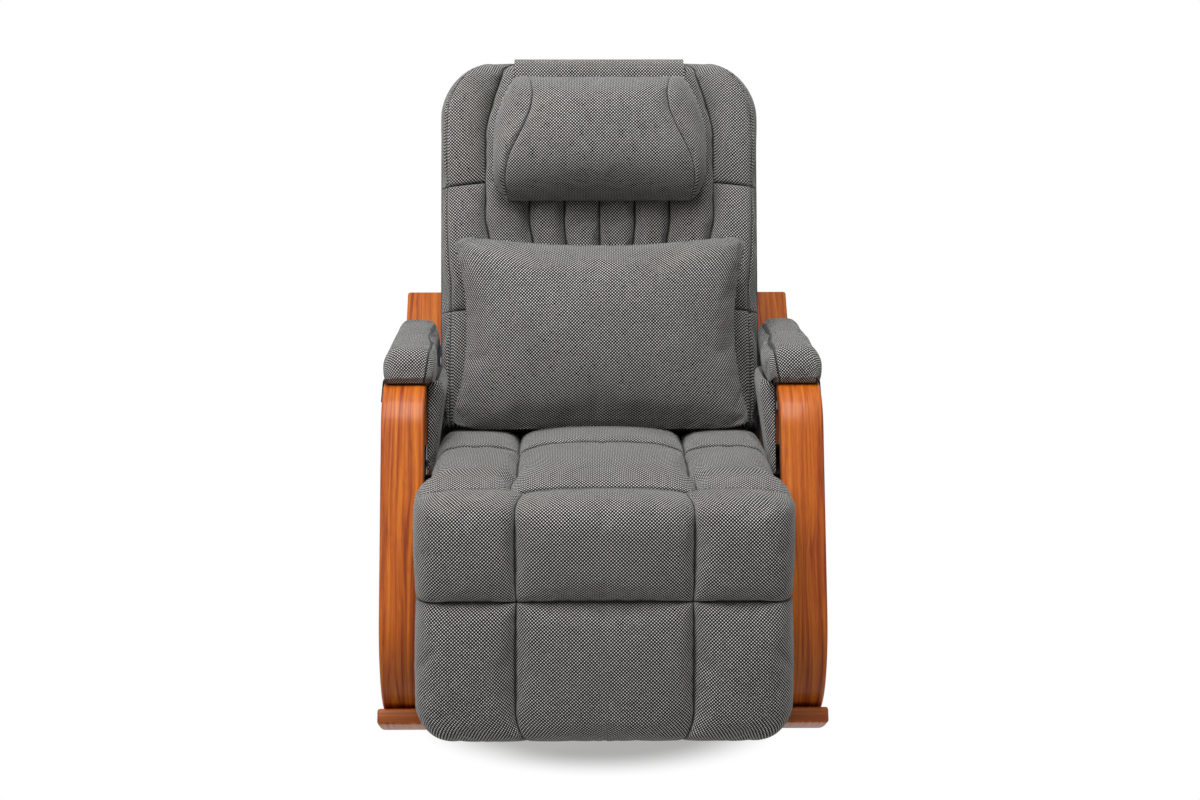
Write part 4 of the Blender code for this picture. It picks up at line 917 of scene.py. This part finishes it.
def pillow_front(share, lift):
    seam = GUSSET_MID - GUSSET_SWING * sin(pi / 2 * (lift + 0.055) / 0.685)
    end = 1 - PILLOW_TOP_IN * max((lift - PILLOW_WIDEST) / (1 - PILLOW_WIDEST), 0.0) ** 2.9
    end -= PILLOW_FOOT_IN * max((PILLOW_WIDEST - lift) / (1 + PILLOW_WIDEST), 0.0) ** 2.5
    sink = pinched(share * PILLOW_HALF, (-GUSSET * PILLOW_HALF, GUSSET * PILLOW_HALF), 0.006)
    out = abs(share) / GUSSET
    if out <= 1:
        wide = seam * out
        dome = 1 - 0.16 * out ** 3
    else:
        out = (abs(share) - GUSSET) / (1 - GUSSET)
        wide = seam + (end - seam) * out
        dome = 0.84 * sqrt(1 - min(out, 1.0) ** 2.4)
    dome *= (1 - abs(lift) ** (3.0 if lift > 0 else 2.3)) ** 0.5
    z = PILLOW_FOOT + PILLOW_HIGH * (lift + 1) / 2
    return on_back(copysign(wide * PILLOW_HALF, share), PILLOW_REAR - max(PILLOW_DEEP - sink, 0.0) * dome, z)


across = lines_over(-1.0, 1.0, (0.10, 0.10), (-GUSSET, GUSSET), pitch=0.034, tuck=TUCK / PILLOW_HALF)
along = lines_over(-1.0, 1.0, (0.16, 0.16), (), pitch=0.06)
head, places = sewn_cover("head_pillow_cover", across, along, pillow_front, WEAVE)
stuffed(head, held_at(places, (-GUSSET, GUSSET), (), across, along), slack=0.02, most=0.003)
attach(head, "headrest")
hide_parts("headrest_pillow")

# Lumbar pillow
# A loose pillow of two panels, sewn along a knife edge and stuffed, so its corners stand out as ears and its
# sides draw in between them. It leans on the back and stands on the seat.
LUMBAR_HALF = 0.215  # at its waist, and how much wider it is at its top and foot
LUMBAR_SPREAD = 0.027
LUMBAR_FOOT = 0.050
LUMBAR_HIGH = 0.318
LUMBAR_DIP = 0.021  # its top edge dips this much between the ears
EAR_ROUND = 0.012
LUMBAR_DEEP = 0.106
LUMBAR_FRONT = 0.012  # how much farther the front panel swells than the rear one
LUMBAR_SAG = 0.12  # how far down the stuffing has settled, as a share of half the height
LUMBAR_FULL = 0.56  # the lower, the fuller it is towards its edges
LUMBAR_MIDDLE = -0.1173
PUCKER = 0.0044  # at the foot, where the stuffing is pressed on the seat


def lumbar_panel(facing):
    """One of the pillow's two panels, shaped over its two shares from -1 to 1."""
    def panel(share, lift):
        rise = lift - LUMBAR_SAG * (1 - lift ** 2)
        dome = ((1 - share ** 2) * (1 - rise ** 2)) ** LUMBAR_FULL
        ear = EAR_ROUND * abs(share * lift) ** 10
        x = share * (LUMBAR_HALF + LUMBAR_SPREAD * abs(lift) ** 2.2 + 0.004 * max(-lift, 0.0) - ear)
        z = LUMBAR_FOOT + LUMBAR_HIGH * (lift + 1) / 2 - copysign(ear, lift)
        z -= LUMBAR_DIP * max(lift, 0.0) ** 2 * (1 - abs(share) ** 2.2)
        pucker = PUCKER * sin(31 * share + 2.5 * sin(9 * share)) * max(-0.45 - lift, 0.0)
        deep = LUMBAR_DEEP / 2 + (LUMBAR_FRONT if facing < 0 else 0.0)
        return on_back(x, LUMBAR_MIDDLE + facing * (deep + pucker) * dome, z)
    return panel


lines = lines_over(-1.0, 1.0, (0.08, 0.08), (), pitch=0.035)
panels = []
for number, facing in enumerate((-1, 1)):
    panel, places = sewn_cover(f"lumbar_panel_{number}", lines, lines, lumbar_panel(facing), WEAVE, True)
    panels.append(panel)
pick(panels[0])
panels[1].select_set(True)
bpy.ops.object.join()
lumbar = bpy.context.object
lumbar.name = "lumbar_pillow_cover"
on_whole_mesh(lumbar, bpy.ops.mesh.remove_doubles, threshold=0.00005)
on_whole_mesh(lumbar, bpy.ops.mesh.normals_make_consistent, inside=False)
knife_edge = []
for vertex in lumbar.data.vertices:
    depth = (vertex.co.y - PIVOT_Y) * cos(LEAN) - (vertex.co.z - PIVOT_Z) * sin(LEAN)
    if abs(depth - LUMBAR_MIDDLE) < 0.0002:
        knife_edge.append(vertex.index)
stuffed(lumbar, knife_edge, pressure=3.0, slack=0.02, most=0.004)
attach(lumbar, "lumbar")
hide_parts("lumbar_pillow")


# Arm pads
# A foam loaf on each arm in a wrapped cover: its inner gusset is sewn to the top along a seam that turns down
# over the round nose. The pad is narrower where it passes the back.
PAD_BASE = 0.5743
PAD_HIGH = 0.057
PAD_NOSE = -0.276
PAD_TAIL = 0.070
PAD_LAP = 0.2545  # inner side by the sitter, and where it passes the back
PAD_PASS = 0.2636
PASS_START = -0.170
PASS_LONG = 0.075
PAD_OUT = 0.3424
PAD_GIRTH = 0.17  # round its section, from edge to edge
PAD_SQUARE = 0.64  # the lower, the squarer its section
NOSE_LONG = 0.036
NOSE_LIFT = 0.010  # from the pad's underside to the tip of its nose
NOSE_TUCK = 0.006
TAIL_LONG = 0.030
GUSSET_TURN = 0.30  # share of the way round the section from its inner edge to the seam
GUSSET_DEEP = 0.005


def arm_loaf(turn, way):
    """The right arm's pad, over the turn round its section and the way up its nose and along its top."""
    y = max(way, PAD_NOSE)
    passing = min(max((y - PASS_START) / PASS_LONG, 0.0), 1.0)
    inner = PAD_LAP + (PAD_PASS - PAD_LAP) * passing
    nose = (1 - (1 - min((y - PAD_NOSE) / NOSE_LONG, 1.0)) ** 2.6) ** 0.4
    tail = eased(PAD_TAIL - y, TAIL_LONG)
    under = min((y - way) / NOSE_TUCK, 1.0) * pi / 2
    lift = NOSE_LIFT * (1 - eased(y - PAD_NOSE, TAIL_LONG)) * cos(under)
    half = (PAD_OUT - inner) / 2 * (0.80 + 0.20 * nose - 0.05 * sin(under)) * (0.88 + 0.12 * tail)
    angle = pi * turn
    side = -copysign(abs(cos(angle)) ** PAD_SQUARE, cos(angle))
    up = sin(angle) ** PAD_SQUARE
    sink = pinched(turn * PAD_GIRTH, (GUSSET_TURN * PAD_GIRTH,), GUSSET_DEEP)
    high = (PAD_HIGH - lift - sink * up) * nose * tail
    x = (inner + PAD_OUT) / 2 + half * side * (0.90 + 0.12 * min(up / 0.6, 1.0)) - 0.3 * sink * side
    return x, y + NOSE_TUCK * (1 - cos(under)), PAD_BASE + lift + high * up


turned = TUCK / PAD_GIRTH
across = lines_over(0.0, 1.0, (0.05, 0.05), (GUSSET_TURN,), pitch=0.03, tuck=turned)
along = [PAD_NOSE - NOSE_TUCK * (1 - step / 4) for step in range(4)]
along += lines_over(PAD_NOSE, PAD_TAIL, (NOSE_LONG, TAIL_LONG), ())
for side, sign in SIDES:
    arm_pad, places = sewn_cover(f"arm_pad_cover_{side}", across, along, arm_loaf, WEAVE, True, sign)
    sewn = held_at(places, (GUSSET_TURN,), (), across, along)
    beside = held_at(places, (GUSSET_TURN - turned, GUSSET_TURN + turned), (), across, along)
    # Painted shade along the gusset seam and the lines beside it.
    stuffed(arm_pad, sewn, slack=0.015, most=0.003, painted_seam_shade=beside + sewn)
    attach(arm_pad, "base")
    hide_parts(f"arm_pad_{side}")

# Side panels
# A padded panel closes the side below each arm, between pad and seat. It thins towards its foot, which
# is tucked in beside the seat. Its front edge is sewn round.
PANEL_OUT = 0.2712
PANEL_LOW = 0.430
PANEL_HIGH = 0.5740
PANEL_TOE = 0.012  # radii of its edges: foot, top, front and rear
PANEL_HEAD = 0.030
PANEL_SIDE = 0.024
PANEL_HALF = 0.073  # half its mean depth
PANEL_SEAM = 0.018 / PANEL_HALF - 1.0


def side_panel(share, z):
    """The right side's panel, over its depth share and height."""
    front = -0.245 - 0.167 * (PANEL_HIGH - z)
    rear = -0.092 - 0.255 * (PANEL_HIGH - z)
    y = (front + rear) / 2 + share * (rear - front) / 2
    reach = (1 - abs(share)) * (rear - front) / 2
    edge = eased(reach, PANEL_SIDE) * eased(z - PANEL_LOW, PANEL_TOE)
    edge *= 0.55 + 0.45 * eased(PANEL_HIGH - z, PANEL_HEAD)
    sink = pinched(share * PANEL_HALF, (PANEL_SEAM * PANEL_HALF,), 0.003)
    thick = 0.007 + 0.145 * (z - PANEL_LOW)
    return PANEL_OUT - (thick - min(sink, thick / 2)) * edge, y, z


across = lines_over(-1.0, 1.0, (0.30, 0.30), (PANEL_SEAM,), pitch=0.08, tuck=TUCK / PANEL_HALF)
along = lines_over(PANEL_LOW, PANEL_HIGH, (PANEL_TOE, PANEL_HEAD), ())
for side, sign in SIDES:
    panel, places = sewn_cover(f"side_panel_cover_{side}", across, along, side_panel, WEAVE, sign=sign)
    stuffed(panel, held_at(places, (PANEL_SEAM,), (), across, along), slack=0.01, most=0.0015)
    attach(panel, "base")
    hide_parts(f"side_panel_{side}")


# Flaps, apron and side linings
# Thin black lining cloth, plain-woven with threads 1.2 mm apart. A flap under each arm pad is tacked down the
# bow's outer side, an apron closes the slot between seat and back, and a lining hangs behind each side panel.
LINING, tree, shader = begin_material("black_lining_cloth", Roughness=0.85, IOR=1.45, Sheen_Weight=0.1,
                                      Sheen_Roughness=0.4, Specular_IOR_Level=0.25)
flat = add(tree, "ShaderNodeUVMap", uv_map="cloth").outputs[0]
yarn = ranged(tree, thread_check(tree, flat, 0.0012), -1.0, 1.0)
dress(tree, shader, two_tone(tree, yarn, "#141416", "#2b2b2e"), yarn, 0.4, 0.0003)
FLAP_OUT = 0.3391
FLAP_TOP = 0.5735
FLAP_HIGH = 0.037


def arm_flap(y, z):
    """The right arm's flap over depth and height: it stands off below, where its corners are round."""
    down = FLAP_TOP - z
    corner = 0.006 * ((y + 0.19) / 0.053) ** 4
    return FLAP_OUT + 0.09 * down + 0.0007 * sin(75 * y), y, z + corner * down / FLAP_HIGH


across = [-0.243 + 0.0106 * step for step in range(11)]
along = [0.5365 + 0.0037 * step for step in range(11)]
for side, sign in SIDES:
    flap, places = sewn_cover(f"arm_flap_cloth_{side}", across, along, arm_flap, LINING, sign=sign)
    apply_modifier(flap, "SOLIDIFY", thickness=CLOTH_THICK, offset=0.0)
    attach(flap, "base")
    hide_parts(f"arm_flap_{side}")

# Partly painted shade: the apron is a cloth that closes the slot, and it is black so that the slot reads as the
# deep shade there.
APRON_HALF = 0.262
APRON_LOW = Vector((0.0, -0.1085, 0.4165))
APRON_HIGH = Vector(on_back(0.0, -0.030, 0.078))


def apron_sheet(x, share):
    spot = APRON_LOW.lerp(APRON_HIGH, share)
    return x, spot.y + 0.006 * sin(pi * share), spot.z - 0.010 * sin(pi * share)


across = lines_over(-APRON_HALF, APRON_HALF, (HEM, HEM), (), pitch=0.02)
along = [step / 12 for step in range(13)]
apron, places = sewn_cover("rear_apron", across, along, apron_sheet, LINING)
apply_modifier(apron, "SOLIDIFY", thickness=CLOTH_THICK, offset=0.0)
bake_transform(apron)

WING_OUT = 0.2672
WING_TOP = 0.585
WING_LEAST = 0.038  # its drop at the rear, and in front of its slanted cut
WING_MOST = 0.160
WING_SLANT = 2.4


def side_lining(y, share):
    """The right side's lining, over depth and the share of its drop."""
    drop = min(WING_MOST, max(WING_LEAST, WING_LEAST - WING_SLANT * y))
    return WING_OUT + 0.0008 * sin(60 * y + 6 * share), y, WING_TOP - share * drop


across = [-0.150 + 0.0124 * step for step in range(18)]
along = [step / 10 for step in range(11)]
for side, sign in SIDES:
    wing, places = sewn_cover(f"side_lining_{side}", across, along, side_lining, LINING, sign=sign)
    apply_modifier(wing, "SOLIDIFY", thickness=CLOTH_THICK, offset=0.0)
    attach(wing, "base")

# Steel, plywood, plastic and rubber
# What is left keeps its solid: powder-coated plates and tubes, zinc-plated axles, rods and bolts, boards of
# birch plywood, black moulded plastic on drive and supply, and grey rubber on the kneading heads and switch.
def speckled(name, dark, light, size, bump, **values):
    """A finish with a fine speckle of two shades, its specks a given size across in metres."""
    material, tree, shader = begin_material(name, **values)
    place = add(tree, "ShaderNodeTexCoord").outputs["Object"]
    specks = add(tree, "ShaderNodeTexNoise", {"Vector": place, "Scale": 1 / size, "Detail": 3.0})
    specks = specks.outputs["Fac"]
    rough = ranged(tree, specks, 0.0, 1.0, values["Roughness"] - 0.06, values["Roughness"] + 0.06)
    tree.links.new(rough, shader.inputs["Roughness"])
    dress(tree, shader, two_tone(tree, specks, dark, light), specks, bump, 0.0003)
    return material


powder_coat = speckled("black_powder_coat", "#161617", "#262628", 0.0012, 0.35, Roughness=0.5, IOR=1.5)
zinc = speckled("zinc_plated_steel", "#b4b6b8", "#cfd1d2", 0.004, 0.06, Roughness=0.3, Metallic=1.0)
moulded = speckled("black_moulded_abs", "#19191b", "#222224", 0.0008, 0.25, Roughness=0.48, IOR=1.53)
rubber = speckled("grey_moulded_rubber", "#45464a", "#55565a", 0.0008, 0.25, Roughness=0.74, IOR=1.5)
plywood = long_grain("birch_plywood", along_x, "#a98a60", "#c2a377", "#d8be94")
for name, node in nodes.items():
    slot = next(part["material_slot"] for part in frame["record"]["subparts"] if part["node"] == name)
    finish = {"black_steel": powder_coat, "bright_steel": zinc, "plastic": moulded, "rubber": rubber,
              "plywood": plywood}.get(slot)
    if finish:
        node.data.materials.clear()
        node.data.materials.append(finish)
        pick(node)
        bpy.ops.object.shade_smooth_by_angle(angle=radians(38))
